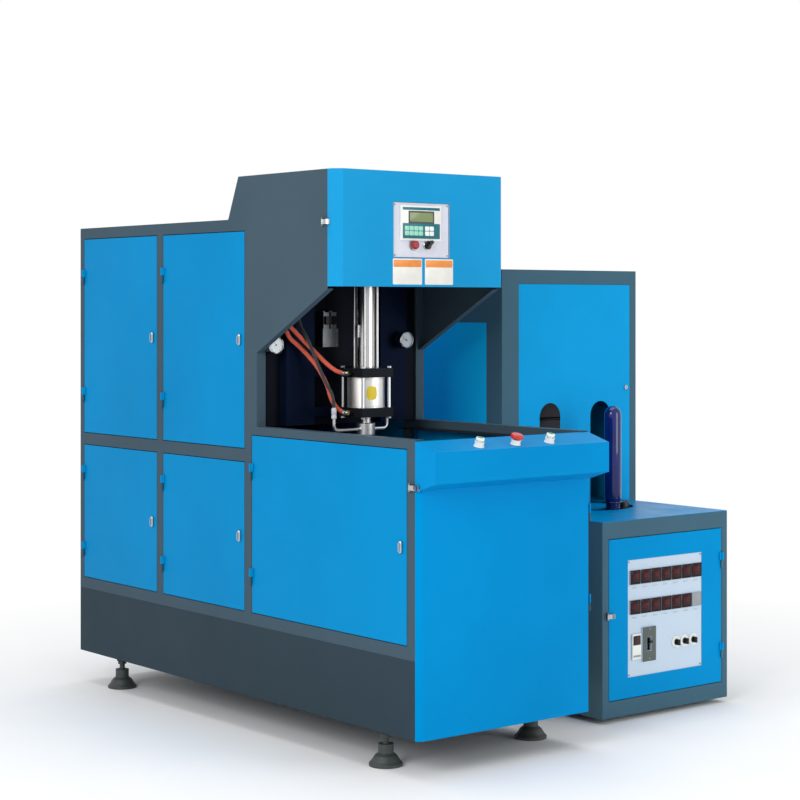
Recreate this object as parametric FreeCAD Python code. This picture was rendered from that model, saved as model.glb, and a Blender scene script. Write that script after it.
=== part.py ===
"""Semi-automatic stretch blow moulding machine for large bottles, with its infrared preform heater.

The blower is a long steel cabinet: a mould clamp works below the deck, and a blow station hangs over it
under a raised hood. The heater stands to its right: a low control box with a turntable of mandrels, and
an oven tower that the mandrels pass through. Millimetres, +Z up. Everything is first placed from the
blower's front left corner on the floor, then moved so that the origin is the middle of the footprint.
"""
import FreeCAD, Part
import os
from math import atan2, cos, degrees, pi, sin, sqrt, tan
from FreeCAD import Placement, Rotation, Vector

# ---- sheet, tube and running clearances ----------------------------------------------------------
SHEET = 2.0                # thickness of folded sheet
TUBE_DEPTH = 40.0          # depth of frame tube, measured into the cabinet
TUBE_WALL = 2.5
DOOR_FOLD = 20.0           # depth of a door's folded edge
DOOR_GAP = 3.0             # gap all round a door in its frame
PART_GAP = 0.4             # smallest gap between pieces that move past each other
PIN_FIT = 0.08             # radial clearance of a hinge pin in its sleeve

# ---- blower: heights -----------------------------------------------------------------------------
FOOT_HEIGHT = 130.0
PLINTH_HEIGHT = 265.0
BOTTOM_RAIL = 44.0
LOWER_DOOR_HEIGHT = 558.0
MID_RAIL = 47.0
UPPER_DOOR_HEIGHT = 812.0
TOP_RAIL = 42.0
DECK_HEIGHT = 1130.0       # top of the deck rail, from the floor
DECK_RAIL = 31.0
HOOD_RISE = 161.0          # hood roof above the cabinet roof

# ---- blower: plan --------------------------------------------------------------------------------
BLOWER_WIDTH = 800.0
PANEL_SETBACK = 12.0       # front plane of the frame, behind the measuring corner
FRONT_POST = 41.0
MOULD_DOOR_WIDTH = 912.0
COLUMN = 45.0
MID_DOOR_WIDTH = 570.0
MID_POST = 44.0
REAR_DOOR_WIDTH = 576.0
REAR_POST = 30.0
COLUMN_COVER = 33.0        # strip that widens the column above the deck
PLINTH_FLANGE = 100.0

# ---- hood ----------------------------------------------------------------------------------------
HOOD_REACH = 468.0         # hood's side sheets, from the column to their front edge
HOOD_SLOPE_RUN = 68.0      # how far the rear slope leans
HOOD_BEHIND = 156.0        # foot of the rear slope, behind the column's front
HOOD_SIDE_FRONT = 424.0    # height of the side sheet at its front edge
HOOD_SIDE_REAR = 656.0     # and at the column
HOOD_RETURN = 26.0         # flange along the slanted lower edge
HOOD_DOOR_FLANGE = 21.0
HOOD_DOOR_CHAMFER = 30.0
HOOD_DOOR_HEIGHT = 414.0
HOOD_TOGGLE_DROP = 187.0   # toggle latch below the hood's roof

# ---- front panel with its nose console -----------------------------------------------------------
FRONT_PANEL_FOLD = 19.6
FRONT_PANEL_CHAMFER = 17.0
NOSE_REACH = 95.0
NOSE_TOP_FALL = 31.0
NOSE_FACE = 105.0
NOSE_UNDER_RISE = 33.0
NOSE_BELOW_DECK = 4.0
NOSE_TOGGLE_DROP = 154.0   # toggle latch below the nose's top
NOSE_SEAM = 10.0           # panel's upper edge below the nose's top

# ---- control plate on the hood door --------------------------------------------------------------
PLATE_LEFT = 143.0         # control plate's left edge, left of the cabinet's middle
PLATE_WIDTH = 263.0
PLATE_RISE = 105.0         # above the hood door's lower edge
PLATE_HEIGHT = 199.0
PLATE_RECESS = 5.0
PLATE_EDGE = 12.0          # plate hidden behind the door all round
KEYPAD_INSET = 34.0        # keypad from the plate's left edge
KEYPAD_WIDTH = 188.0
KEYPAD_RISE = 62.0         # keypad above the plate's lower edge
KEYPAD_HEIGHT = 126.0
KEYPAD_PROUD = 6.0
KEYPAD_HOUSING = 32.0      # depth of the housing behind the plate
KEY_PITCH = 21.5
KEY_HEIGHT = 14.0
KEY_GAP = 4.0              # between keys
KEY_PROUD = 1.2
KEY_ROWS, KEY_COLUMNS, KEY_BLOCK = 2, 6, 4
KEY_BLOCK_GAP = 8.0        # between the two blocks of keys
KEYS_INSET = 18.0          # first key from the bezel's left edge
KEYS_RISE = 18.9           # and from its lower edge
KEYPAD_LIP = 9.0           # bezel beyond the housing all round
DISPLAY_LEFT = 46.0        # display from the bezel's left and right edges
DISPLAY_RIGHT = 40.0
DISPLAY_RISE = 69.3        # display's lower and upper edges above the bezel's
DISPLAY_TOP = 108.36
DISPLAY_SUNK = 2.5
SWITCH_RISE = 46.0         # stop button and selector above the plate's lower edge
STOP_INSET = 96.0          # from the plate's left edge
SELECTOR_INSET = 161.0
SWITCH_SHAFT = 6.0
STOP_RADIUS = 15.5
SELECTOR_RADIUS = 15.0
SELECTOR_RING = 7.0        # thickness of the selector's ring
SELECTOR_REST = 45.0       # lever's angle at rest, in degrees
SELECTOR_LEVER = 9.0       # width of its lever
LEVER_LONG_END = 20.0
LEVER_SHORT_END = 12.0
LEVER_PROUD = 13.0         # lever's height over the ring
SWITCH_SHAFT_END = 16.0    # shafts behind the plate

# ---- side door latches, toggle latches, buttons --------------------------------------------------
LATCH_LONG = 42.0
LATCH_WIDE = 14.0
LATCH_INSET = 26.0         # latch axis from the door's free edge
TONGUE_LENGTH = 40.0
TONGUE_THICK = 3.0
TONGUE_HALF = 8.0
TONGUE_BEHIND = 2.0        # tongue behind the frame tube
LATCH_SHAFT_OVER = 0.6     # latch shaft's radius over a hinge pin's
HANDLE_THICK = 7.0         # oval handle's disc
GRIP_HEIGHT = 8.0          # grip over the disc
GRIP_WIDTH = 5.0
KNUCKLE_RADIUS = 6.0
PIN_RADIUS = 3.0
LEAF_WIDTH = 14.0          # hinge leaf from its pin's axis
LEAF_GAP = 1.6             # moving leaf from the pin's axis
LEAF_THICK = 2.0
KNUCKLE_LENGTH = 60.0
TOGGLE_WIDTH = 26.0
BUTTON_RADIUS = 15.0
BUTTON_TRAVEL = 5.0
MUSHROOM_RADIUS = 22.0
BUTTON_SHAFT = 9.0
BUTTON_BORE = 1.0          # collar and panel round a button's shaft
COLLAR_HEIGHT = 17.0
BUTTON_SEAT = 0.3          # share of the nose's depth, from its front edge
START_LEFT = 184.0         # left of the cabinet's middle
START_RIGHT = 140.0        # right of it
EMERGENCY_LEFT = 18.0
TOGGLE_LIFT = 9.0          # toggle pin's height over the side it is fixed to
TOGGLE_REACH = 30.0
TOGGLE_SETBACK = 16.0      # toggle pin behind the seam that the latch closes

# ---- levelling feet ------------------------------------------------------------------------------
FOOT_RADIUS = 58.5
FOOT_BELL_HEIGHT = 35.0
FOOT_COLLAR_RADIUS = 27.0
FOOT_COLLAR_TOP = 75.0
FOOT_STUD_RADIUS = 11.0
FOOT_NUT_FLATS = 41.0
FOOT_NUT_HEIGHT = 16.0
FOOT_RIM = 9.0             # height of the bell's rim
FOOT_STEP = 8.0            # rounding of the bell above its rim
FOOT_FLARE = 12.0          # bell's top beyond its collar
FOOT_INSET_X = 62.0
FOOT_FRONT_Y = 245.0
FOOT_REAR_INSET = 235.0    # rear feet in front of the cabinet's back

# ---- blow station --------------------------------------------------------------------------------
BULKHEAD_SETBACK = 24.0    # bulkhead in front of the column's front
STATION_SETBACK = 151.0    # blow axis in front of the bulkhead
STRETCH_TUBE_RADIUS = 35.0
STRETCH_TUBE_WALL = 4.0
SENSOR_RISE = 115.0        # position sensor above the stretch tube's foot
SENSOR_LENGTH = 46.0
SENSOR_WIDTH = 14.0
SENSOR_PROUD = 11.0
STRETCH_ROD_RADIUS = 7.0
TIE_ROD_PITCH = 43.0       # tie rods of the stretch cylinder, from its axis
TIE_ROD_RADIUS = 5.0
STATION_PLATE = 145.0
STATION_PLATE_THICK = 34.0
STATION_OVER_DECK = 31.0   # station's lower plate above the deck
BARREL_HEIGHT = 114.0
BARREL_RADIUS = 69.0
BARREL_WALL = 7.0
CORNER_ROD_PITCH = 62.0
CORNER_ROD_RADIUS = 5.5
PISTON_ROD_RADIUS = 18.0
NOZZLE_RADIUS = 34.5
NOZZLE_HEIGHT = 47.0
NOZZLE_BELOW_PLATE = 23.0
NOZZLE_TRAVEL = 80.0
ELBOW_RADIUS = 6.0
COLUMN_BEAM = 40.0         # depth of the station's upright beams
BEAM_WIDTH = 129.0
BEAM_INSET = 113.0         # outer edge of an upright beam from the cabinet's side
ARM_HALF = 50.0            # half the width of the arms that hold the cylinder's plates
GAUGE_RADIUS = 33.0
GAUGE_RIM = 4.0            # width of the case's rim
GAUGE_SUNK = 5.0           # dial below the rim
GAUGE_DEPTH = 34.0
GAUGE_STEM = 14.0
LEFT_GAUGE_INSET = 62.0    # gauges from the cabinet's sides
RIGHT_GAUGE_INSET = 151.0
LEFT_GAUGE_RISE = 270.0    # gauges above the station's lower plate
RIGHT_GAUGE_RISE = 283.0
VALVE_INSET = 277.0        # valve unit from the cabinet's left side
VALVE_WIDTH = 72.0
VALVE_DEPTH = 46.0
VALVE_HEIGHT = 69.0
VALVE_RISE = 260.0         # above the station's lower plate
PORT_HALF = 12.0           # half the width of a port block
BLACK_PORT_HEIGHT = 30.0
COIL_WIDTH = 26.0
COIL_HEIGHT = 62.0

# ---- air hoses of the blow station ---------------------------------------------------------------
HOSE_RADIUS = 8.0
BLACK_HOSE_RADIUS = 6.0
FERRULE_LENGTH = 42.0
FERRULE_GAP = 4.0          # ferrule's foot below the station's lower plate
RED_PORT_INSET = 99.0      # where the red hoses start, from the cabinet's left side
BLACK_PORT_INSET = 160.0
RED_END_REACH = 100.0      # where they end, left of the blow axis
FERRULE_REACH = 164.0

# ---- mould clamp ---------------------------------------------------------------------------------
MOULD_WIDTH = 420.0
MOULD_DEPTH = 170.0        # thickness of one mould half
MOULD_HEIGHT = 550.0
MOULD_TRAVEL = 230.0
BOTTLE_RADIUS = 135.0
BOTTLE_HEIGHT = 380.0      # straight body of the bottle
BOTTLE_SHOULDER = 75.0
NECK_RADIUS = 27.0
PLATEN_THICK = 60.0
PLATEN_OVERHANG = 85.0     # platen beyond the mould at each side
PLATEN_MARGIN = 25.0       # platen above and below the mould
TIE_BAR_RADIUS = 22.0
TIE_BAR_PROUD = 12.0       # tie bars beyond the end plates
TIE_BAR_IN = 32.0          # tie bar axis beyond the mould's side
TIE_BAR_Z_MARGIN = 70.0
TIE_BAR_CLEARANCE = 0.05
END_PLATE_THICK = 50.0
FRONT_END_GAP = 130.0      # room left before the front end plate when the mould is open
REAR_END_GAP = 180.0
BASE_INSERT = 18.0         # height of the bottle that the mould's base block forms
BOTTLE_NECK = 38.0         # neck's share of the mould's height
CLAMP_RADIUS = 80.0
CLAMP_WALL = 12.0
CLAMP_CAP = 30.0
CLAMP_CAP_OVER = 8.0       # cap's radius over the barrel's
RECEIVER_RADIUS = 150.0
RECEIVER_BELOW_RAIL = 60.0
RECEIVER_LIFT = 40.0       # bottle's lower end above its shelf
RECEIVER_VALVE_RISE = 20.0
RECEIVER_VALVE_RADIUS = 18.0
END_HEIGHT = 60.0          # height of the bottle's rounded ends
CROWN_SHARE = 0.6          # share of the radius where the flatter crown begins
CROWN_RISE = 6.0
SKIRT_SHARE = 0.75
SKIRT_WALL = 4.0
SKIRT_OVERLAP = 50.0
CLAMP_LENGTH = 420.0
CLAMP_ROD_RADIUS = 35.0

# ---- heater: control box, table and tower --------------------------------------------------------
OVEN_LIFT = 20.0
BOX_BESIDE = 287.0         # heater's box from the blower's right side
TOWER_BEYOND_BOX = 39.0    # tower's right side beyond the box's
BOX_Y = 226.0
BOX_STILE = 32.0
BOX_DOOR_LOW = 82.0
TABLE_TOP = 762.0
BOX_HEAD = 66.0            # band between the box door and the table's top
BOX_TOGGLE_RISE = 324.0    # toggle latch above the box door's lower edge
TOWER_OVERHANG = 21.0      # tower's left side beyond the box's
TOWER_LEFT_POST = 90.0
TOWER_DOOR_WIDTH = 630.0
TOWER_RIGHT_POST = 36.0
TABLE_DEPTH = 541.0        # table in front of the tower
TOWER_DEPTH = 653.0
TOWER_TOP = 1719.0
TOWER_TOP_RAIL = 55.0
TOWER_POST_DEPTH = 93.0
TOWER_BAND = 211.0         # band above the side panels
PAD_RADIUS = 25.0
PAD_INSET = 130.0          # control box's pads from its corners
LOCK_RADIUS = 9.0
LOCK_FIT = 0.3             # panel round the lock
LOCK_PROUD = 6.0
LOCK_CAM_BEHIND = 2.0      # cam behind the panel's fold
LOCK_CAM_THICK = 3.0
LOCK_CAM_HALF = 6.0
LOCK_CAM_REACH = 22.0
KEY_SLOT = 2.4
KEY_SLOT_DEPTH = 3.0
KEY_SLOT_HALF = 5.0
LOCK_INSET = 26.0          # lock from the oven panel's right edge
LOCK_RISE = 473.0          # lock above the table

# ---- heater: meter panel -------------------------------------------------------------------------
METER_INSET = 136.0        # meter window from the box's left side
METER_WIDTH = 413.0
METER_RISE = 80.0          # above the door's lower edge
METER_HEIGHT = 446.0
METER_MARGIN = 14.0        # plate hidden behind the door all round
METER_COUNT = 7
METER_PITCH = 57.0
METER_MODULE = 54.0
METER_FIRST = 10.0         # first module from the window's left edge
UPPER_ROW_RISE = 352.0     # rows of modules above the window's lower edge
LOWER_ROW_RISE = 238.0
MODULE_PROUD = 7.0
MODULE_DEPTH = 42.0        # depth of the modules' housing behind the plate
THERMOSTAT_INSET = 20.0
THERMOSTAT_WIDTH = 48.0
THERMOSTAT_RISE = 66.0
THERMOSTAT_HEIGHT = 96.0
BREAKER_INSET = 112.0      # breaker's middle from the window's left edge
BREAKER_RISE = 118.0
BREAKER_HALF = 36.0
BREAKER_BODY = 66.0        # half the breaker's height
BREAKER_SLOT = 12.0        # half the width of the breaker's slot
BREAKER_SLOT_HALF = 26.0   # half its height
BREAKER_TILT = 25.0
KNOB_RISE = 108.0
KNOB_FIRST = 266.0         # knobs from the window's left edge
KNOB_SECOND = 313.0
KNOB_THIRD = 362.0
KNOB_RADIUS = 11.0
KNOB_GRIP = 23.0           # length of a knob's grip
KNOB_SHAFT = 3.0

# ---- heater: turntable and preform ---------------------------------------------------------------
MANDREL_COUNT = 8
TURN_RADIUS = 154.5        # circle of the mandrels
TURN_BEHIND_DOOR = 59.0    # turntable axis in front of the tower's face
SLOT_OUTER = 192.0
ISLAND_RADIUS = 117.0
DISC_BELOW = 32.0          # disc's top below the table's
DISC_THICK = 10.0
DISC_RIM = 30.0            # disc beyond the mandrels' circle
SHAFT_RADIUS = 20.0
SHAFT_LENGTH = 120.0
SHAFT_COLLAR = 16.0        # collar beyond the shaft
COLLAR_DROP = 38.0
SHAFT_END_GAP = 20.0       # shaft's end above the bearing's beam
BEARING_RADIUS = 45.0
BEARING_LENGTH = 100.0
BEARING_BEAM = 50.0        # height of the bearing's beam
COLUMN_RADIUS = 60.0       # column that carries the island
MANDREL_RADIUS = 30.0
SPIGOT_FIT = 1.0           # preform's neck round the spigot
SPIGOT_HEIGHT = 22.0
SPIGOT_NOSE = 6.0          # tapered end
SPIGOT_TAPER = 5.0
PREFORM_RADIUS = 34.0
PREFORM_WALL = 4.0
PREFORM_LENGTH = 417.0
PREFORM_NECK_RADIUS = 27.5
NECK_HEIGHT = 30.0         # threaded neck up to the support ring
NECK_BEAD = 2.0
BEAD_RISE = 8.0
BEAD_HEIGHT = 6.0
RING_THICK = 4.0
RING_PROUD = 3.0           # support ring beyond the body
NECK_TAPER = 30.0          # from the ring to the full body
DOME_STEPS = 5
ARCH_HALF_WIDTH = 58.0
ARCH_OVER = 8.0            # arch above the preform's end
LAMP_COUNT = 6
LAMP_RADIUS = 6.0
TABLE_BEHIND = 45.0        # table's back edge behind its round opening
LAMP_BEHIND = 8.0          # lamps behind the table's round opening
LAMP_BESIDE = 20.0         # reflector beyond the mandrels' circle
LAMP_OVER = 40.0           # reflector above the preform
LAMP_MARGIN = 30.0         # lowest lamp above the table, and highest below the top
REFLECTOR_DEPTH = 14.0
REFLECTOR_POST = 8.0       # half the width of its side posts

# ---- levels and stations worked out from the sizes above -----------------------------------------
Z_RAIL = FOOT_HEIGHT + PLINTH_HEIGHT
Z_LOWER = Z_RAIL + BOTTOM_RAIL
Z_MID = Z_LOWER + LOWER_DOOR_HEIGHT
Z_UPPER = Z_MID + MID_RAIL
Z_TOP_RAIL = Z_UPPER + UPPER_DOOR_HEIGHT
Z_ROOF = Z_TOP_RAIL + TOP_RAIL
Z_HOOD = Z_ROOF + HOOD_RISE
Z_DECK_LOW = DECK_HEIGHT - DECK_RAIL
Y_FRAME = PANEL_SETBACK
Y_MOULD = Y_FRAME + FRONT_POST
Y_COLUMN = Y_MOULD + MOULD_DOOR_WIDTH
Y_MID = Y_COLUMN + COLUMN
Y_MID_POST = Y_MID + MID_DOOR_WIDTH
Y_REAR = Y_MID_POST + MID_POST
Y_REAR_POST = Y_REAR + REAR_DOOR_WIDTH
Y_BACK = Y_REAR_POST + REAR_POST
Y_STRIP = Y_COLUMN - COLUMN_COVER
FRONT_Y = Y_FRAME - PART_GAP - FRONT_PANEL_FOLD
BULKHEAD_Y = Y_COLUMN - BULKHEAD_SETBACK
STATION_Y = BULKHEAD_Y - STATION_SETBACK
FOOT_REAR_Y = Y_BACK - FOOT_REAR_INSET
HOOD_SEAM_Y = Y_COLUMN - HOOD_REACH
HOOD_BACK_Y = Y_COLUMN + HOOD_BEHIND
HOOD_HINGE_Y = HOOD_SEAM_Y - PART_GAP
HOOD_FACE_Y = HOOD_HINGE_Y - HOOD_DOOR_FLANGE - HOOD_DOOR_CHAMFER
MID_X = BLOWER_WIDTH / 2
HOOD_SIDE_LOW_FRONT = Z_HOOD - HOOD_SIDE_FRONT
HOOD_SIDE_LOW_REAR = Z_HOOD - HOOD_SIDE_REAR
HOOD_DOOR_BOTTOM = Z_HOOD - HOOD_DOOR_HEIGHT
HOOD_PIN = (BLOWER_WIDTH + KNUCKLE_RADIUS, HOOD_SEAM_Y - PART_GAP / 2)
FRONT_PIN = (BLOWER_WIDTH + KNUCKLE_RADIUS, Y_FRAME - PART_GAP / 2)
HOOD_TOGGLE_Z = Z_HOOD - HOOD_TOGGLE_DROP
HOOD_TOGGLE_Y = HOOD_SEAM_Y + TOGGLE_SETBACK
PLATE_X = MID_X - PLATE_LEFT
PLATE_LOW = HOOD_DOOR_BOTTOM + PLATE_RISE
PLATE_FACE = HOOD_FACE_Y + PLATE_RECESS
KEYPAD_X = PLATE_X + KEYPAD_INSET
KEYPAD_LOW = PLATE_LOW + KEYPAD_RISE
SWITCH_HEIGHT = PLATE_LOW + SWITCH_RISE
STOP_X = PLATE_X + STOP_INSET
SELECTOR_X = PLATE_X + SELECTOR_INSET
NOSE_TOP = DECK_HEIGHT - NOSE_BELOW_DECK
NOSE_BACK = Y_FRAME - PART_GAP
NOSE_FRONT = -NOSE_REACH
NOSE_EDGE_TOP = NOSE_TOP - NOSE_TOP_FALL
NOSE_EDGE_LOW = NOSE_EDGE_TOP - NOSE_FACE
NOSE_LOW = NOSE_EDGE_LOW - NOSE_UNDER_RISE
NOSE_SLOPE = atan2(NOSE_TOP_FALL, NOSE_BACK - NOSE_FRONT)
FRONT_TOGGLE_Z = NOSE_TOP - NOSE_TOGGLE_DROP
FRONT_TOGGLE_Y = Y_FRAME + TOGGLE_SETBACK
START_LEFT_X = MID_X - START_LEFT
START_RIGHT_X = MID_X + START_RIGHT
EMERGENCY_X = MID_X - EMERGENCY_LEFT
LOWER_PLATE_LOW = DECK_HEIGHT + STATION_OVER_DECK
STATION_TOP_PLATE = LOWER_PLATE_LOW + STATION_PLATE_THICK + BARREL_HEIGHT
STRETCH_LOW = STATION_TOP_PLATE + STATION_PLATE_THICK
STRETCH_TOP = Z_HOOD - 3 * SHEET - STATION_PLATE_THICK
NOZZLE_TOP = LOWER_PLATE_LOW - NOZZLE_BELOW_PLATE
NOZZLE_LOW = NOZZLE_TOP - NOZZLE_HEIGHT
MOULD_TOP = NOZZLE_LOW - NOZZLE_TRAVEL - 3.0
MOULD_LOW = MOULD_TOP - MOULD_HEIGHT
SHOULDER_TOP = MOULD_TOP - BOTTLE_NECK
BODY_TOP = SHOULDER_TOP - BOTTLE_SHOULDER
BOTTLE_LOW = BODY_TOP - BOTTLE_HEIGHT
PLATEN_LOW = MOULD_LOW - PLATEN_MARGIN
PLATEN_TOP = MOULD_TOP + PLATEN_MARGIN
REAR_PLATEN_Y = STATION_Y + PART_GAP / 2 + MOULD_DEPTH
FRONT_PLATEN_Y = STATION_Y - PART_GAP / 2 - MOULD_DEPTH - PLATEN_THICK
FRONT_END_Y = FRONT_PLATEN_Y - MOULD_TRAVEL - FRONT_END_GAP - END_PLATE_THICK
REAR_END_Y = REAR_PLATEN_Y + PLATEN_THICK + MOULD_TRAVEL + REAR_END_GAP
CLAMP_Z = (PLATEN_LOW + PLATEN_TOP) / 2
VALVE_X = VALVE_INSET
VALVE_LOW = LOWER_PLATE_LOW + VALVE_RISE
GAUGES = [(BLOWER_WIDTH - RIGHT_GAUGE_INSET, LOWER_PLATE_LOW + RIGHT_GAUGE_RISE, BULKHEAD_Y - COLUMN_BEAM),
          (LEFT_GAUGE_INSET, LOWER_PLATE_LOW + LEFT_GAUGE_RISE, BULKHEAD_Y)]
BOX_X = BLOWER_WIDTH + BOX_BESIDE
TOWER_X = BOX_X - TOWER_OVERHANG
TOWER_DOOR_X = TOWER_X + TOWER_LEFT_POST
TOWER_RIGHT = TOWER_DOOR_X + TOWER_DOOR_WIDTH + TOWER_RIGHT_POST
BOX_RIGHT = TOWER_RIGHT - TOWER_BEYOND_BOX
BOX_DOOR_X0 = BOX_X + BOX_STILE
BOX_DOOR_X1 = BOX_RIGHT - BOX_STILE
BOX_DOOR_HIGH = TABLE_TOP - BOX_HEAD
BOX_PIN = (BOX_DOOR_X1 - DOOR_GAP / 2, BOX_Y - KNUCKLE_RADIUS)
BOX_TOGGLE_X = BOX_DOOR_X0 - 12.0
BOX_TOGGLE_Z = BOX_DOOR_LOW + BOX_TOGGLE_RISE
TOWER_Y = BOX_Y + TABLE_DEPTH
TURN_X = TOWER_DOOR_X + TOWER_DOOR_WIDTH / 2
TURN_Y = TOWER_Y - TURN_BEHIND_DOOR
TOWER_BACK = TOWER_Y + TOWER_DEPTH
TABLE_BACK = TURN_Y + SLOT_OUTER + TABLE_BEHIND
LOCK_X = TOWER_DOOR_X + TOWER_DOOR_WIDTH - LOCK_INSET
LOCK_Z = TABLE_TOP + LOCK_RISE
DISC_TOP = TABLE_TOP - DISC_BELOW
PREFORM_FOOT = TABLE_TOP - 5.0
PREFORM_TOP = PREFORM_FOOT + PREFORM_LENGTH
ARCH_TOP = PREFORM_TOP + ARCH_OVER
METER_X = BOX_X + METER_INSET
METER_LOW = BOX_DOOR_LOW + METER_RISE
METER_FACE = BOX_Y + SHEET + 1.0
METER_LEFT = METER_X + METER_FIRST
METER_ROWS = (METER_LOW + UPPER_ROW_RISE, METER_LOW + LOWER_ROW_RISE)
KNOB_Z = METER_LOW + KNOB_RISE
KNOB_X = (METER_X + KNOB_FIRST, METER_X + KNOB_SECOND, METER_X + KNOB_THIRD)
BREAKER_X = METER_X + BREAKER_INSET
BREAKER_Z = METER_LOW + BREAKER_RISE
SIDE_HINGE_X = -KNUCKLE_RADIUS


# ---- shape helpers -------------------------------------------------------------------------------
def box(x0, x1, y0, y1, z0, z1):
    return Part.makeBox(x1 - x0, y1 - y0, z1 - z0, Vector(x0, y0, z0))


def round_bar(radius, start, end):
    run = Vector(*end) - Vector(*start)
    return Part.makeCylinder(radius, run.Length, Vector(*start), run)


def tube(outer, inner, start, end):
    return round_bar(outer, start, end).cut(round_bar(inner, start, end))


def prism(points, run):
    """Straight prism over a closed outline of (x, y, z) points."""
    outline = [Vector(*p) for p in points]
    return Part.Face(Part.makePolygon(outline + outline[:1])).extrude(Vector(*run))


def side_prism(points, x0, thickness):
    return prism([(x0, y, z) for y, z in points], (thickness, 0, 0))


def plan_prism(points, z0, height):
    return prism([(x, y, z0) for x, y in points], (0, 0, height))


def revolve_z(points, x=0.0, y=0.0):
    """Solid of revolution about a vertical axis, from (radius, z) points."""
    outline = [Vector(r, 0, z) for r, z in points]
    face = Part.Face(Part.makePolygon(outline + outline[:1]))
    solid = face.revolve(Vector(0, 0, 0), Vector(0, 0, 1), 360)
    solid.translate(Vector(x, y, 0))
    return solid


def hollow_bar(x0, x1, y0, y1, z0, z1, along):
    """Rectangular steel tube between two corners, open along the named axis."""
    t = TUBE_WALL
    inset = {"x": (0, t, t), "y": (t, 0, t), "z": (t, t, 0)}[along]
    bore = box(x0 + inset[0], x1 - inset[0], y0 + inset[1], y1 - inset[1], z0 + inset[2], z1 - inset[2])
    return box(x0, x1, y0, y1, z0, z1).cut(bore)


def group(shapes):
    return Part.makeCompound(shapes)


def fuse(shapes):
    whole = shapes[0].multiFuse(shapes[1:]).removeSplitter()
    return whole.Solids[0] if len(whole.Solids) == 1 else whole


def mirror_x(shape, x=None):
    return shape.mirror(Vector(MID_X if x is None else x, 0, 0), Vector(1, 0, 0))


def pan_x(outer_x, depth, y0, y1, z0, z1):
    """Folded sheet panel facing along X; a positive depth folds towards +X."""
    inner_x = outer_x + depth
    skin = SHEET if depth > 0 else -SHEET
    low, high = sorted((outer_x, inner_x))
    hollow_low, hollow_high = sorted((outer_x + skin, inner_x))
    return box(low, high, y0, y1, z0, z1).cut(
        box(hollow_low, hollow_high, y0 + SHEET, y1 - SHEET, z0 + SHEET, z1 - SHEET))


def pan_y(outer_y, depth, x0, x1, z0, z1):
    """Folded sheet panel facing -Y."""
    return box(x0, x1, outer_y, outer_y + depth, z0, z1).cut(
        box(x0 + SHEET, x1 - SHEET, outer_y + SHEET, outer_y + depth, z0 + SHEET, z1 - SHEET))


# ---- blower: base, frame and covers --------------------------------------------------------------
def base_plinth():
    """Folded channels round the foot of the cabinet, with a floor sheet between them."""
    low, high = FOOT_HEIGHT, Z_RAIL
    wall = SHEET + 1.0

    def channel(x0, inward):
        reach = inward * PLINTH_FLANGE
        return prism([(x0, Y_FRAME, low), (x0 + reach, Y_FRAME, low),
                      (x0 + reach, Y_FRAME, low + wall), (x0 + inward * wall, Y_FRAME, low + wall),
                      (x0 + inward * wall, Y_FRAME, high - wall),
                      (x0 + inward * TUBE_DEPTH, Y_FRAME, high - wall),
                      (x0 + inward * TUBE_DEPTH, Y_FRAME, high), (x0, Y_FRAME, high)],
                     (0, Y_BACK - Y_FRAME, 0))

    left, right = channel(0, 1), channel(BLOWER_WIDTH, -1)
    inner_left, inner_right = PLINTH_FLANGE, BLOWER_WIDTH - PLINTH_FLANGE
    floor = box(inner_left, inner_right, Y_FRAME, Y_BACK, low, low + wall)
    web_front = box(wall, BLOWER_WIDTH - wall, Y_FRAME, Y_FRAME + wall, low + wall, high - wall)
    web_rear = box(wall, BLOWER_WIDTH - wall, Y_BACK - wall, Y_BACK, low + wall, high - wall)
    across = (TUBE_DEPTH, BLOWER_WIDTH - TUBE_DEPTH)
    beams = [hollow_bar(*across, y, y + END_PLATE_THICK, low + wall, PLATEN_LOW, "x")
             for y in (FRONT_END_Y, REAR_END_Y)]
    return group([left, right, floor, web_front, web_rear] + beams)


def side_posts():
    """Left side uprights as (front, rear, bottom, top)."""
    return [(Y_FRAME, Y_MOULD, Z_LOWER, Z_DECK_LOW),
            (Y_COLUMN, Y_MID, Z_LOWER, Z_TOP_RAIL),
            (Y_MID_POST, Y_REAR, Z_LOWER, Z_TOP_RAIL),
            (Y_REAR_POST, Y_BACK, Z_LOWER, Z_TOP_RAIL)]


def left_frame_bars():
    depth = TUBE_DEPTH
    bars = [hollow_bar(0, depth, front, rear, low, high, "z") for front, rear, low, high in side_posts()]
    bars.append(hollow_bar(0, depth, Y_FRAME, Y_BACK, Z_RAIL, Z_LOWER, "y"))
    bars.append(hollow_bar(0, depth, Y_FRAME, Y_COLUMN, Z_DECK_LOW, DECK_HEIGHT, "y"))
    bars.append(hollow_bar(0, depth, Y_MID, Y_MID_POST, Z_MID, Z_UPPER, "y"))
    bars.append(hollow_bar(0, depth, Y_REAR, Y_REAR_POST, Z_MID, Z_UPPER, "y"))
    bars.append(hollow_bar(0, depth, Y_COLUMN, Y_BACK, Z_TOP_RAIL, Z_ROOF, "y"))
    bars.append(hollow_bar(0, depth, Y_STRIP, Y_COLUMN, DECK_HEIGHT, Z_ROOF, "z"))
    return bars


def cross_bars():
    inner, outer = TUBE_DEPTH, BLOWER_WIDTH - TUBE_DEPTH
    spans = [(Y_FRAME, Y_MOULD, Z_RAIL, Z_LOWER), (Y_FRAME, Y_MOULD, Z_DECK_LOW - 14.0, DECK_HEIGHT - 14.0),
             (Y_REAR_POST, Y_BACK, Z_RAIL, Z_LOWER), (Y_REAR_POST, Y_BACK, Z_MID, Z_UPPER),
             (Y_REAR_POST, Y_BACK, Z_TOP_RAIL, Z_ROOF), (Y_COLUMN, Y_MID, Z_TOP_RAIL, Z_ROOF)]
    return [hollow_bar(inner, outer, y0, y1, z0, z1, "x") for y0, y1, z0, z1 in spans]


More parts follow.
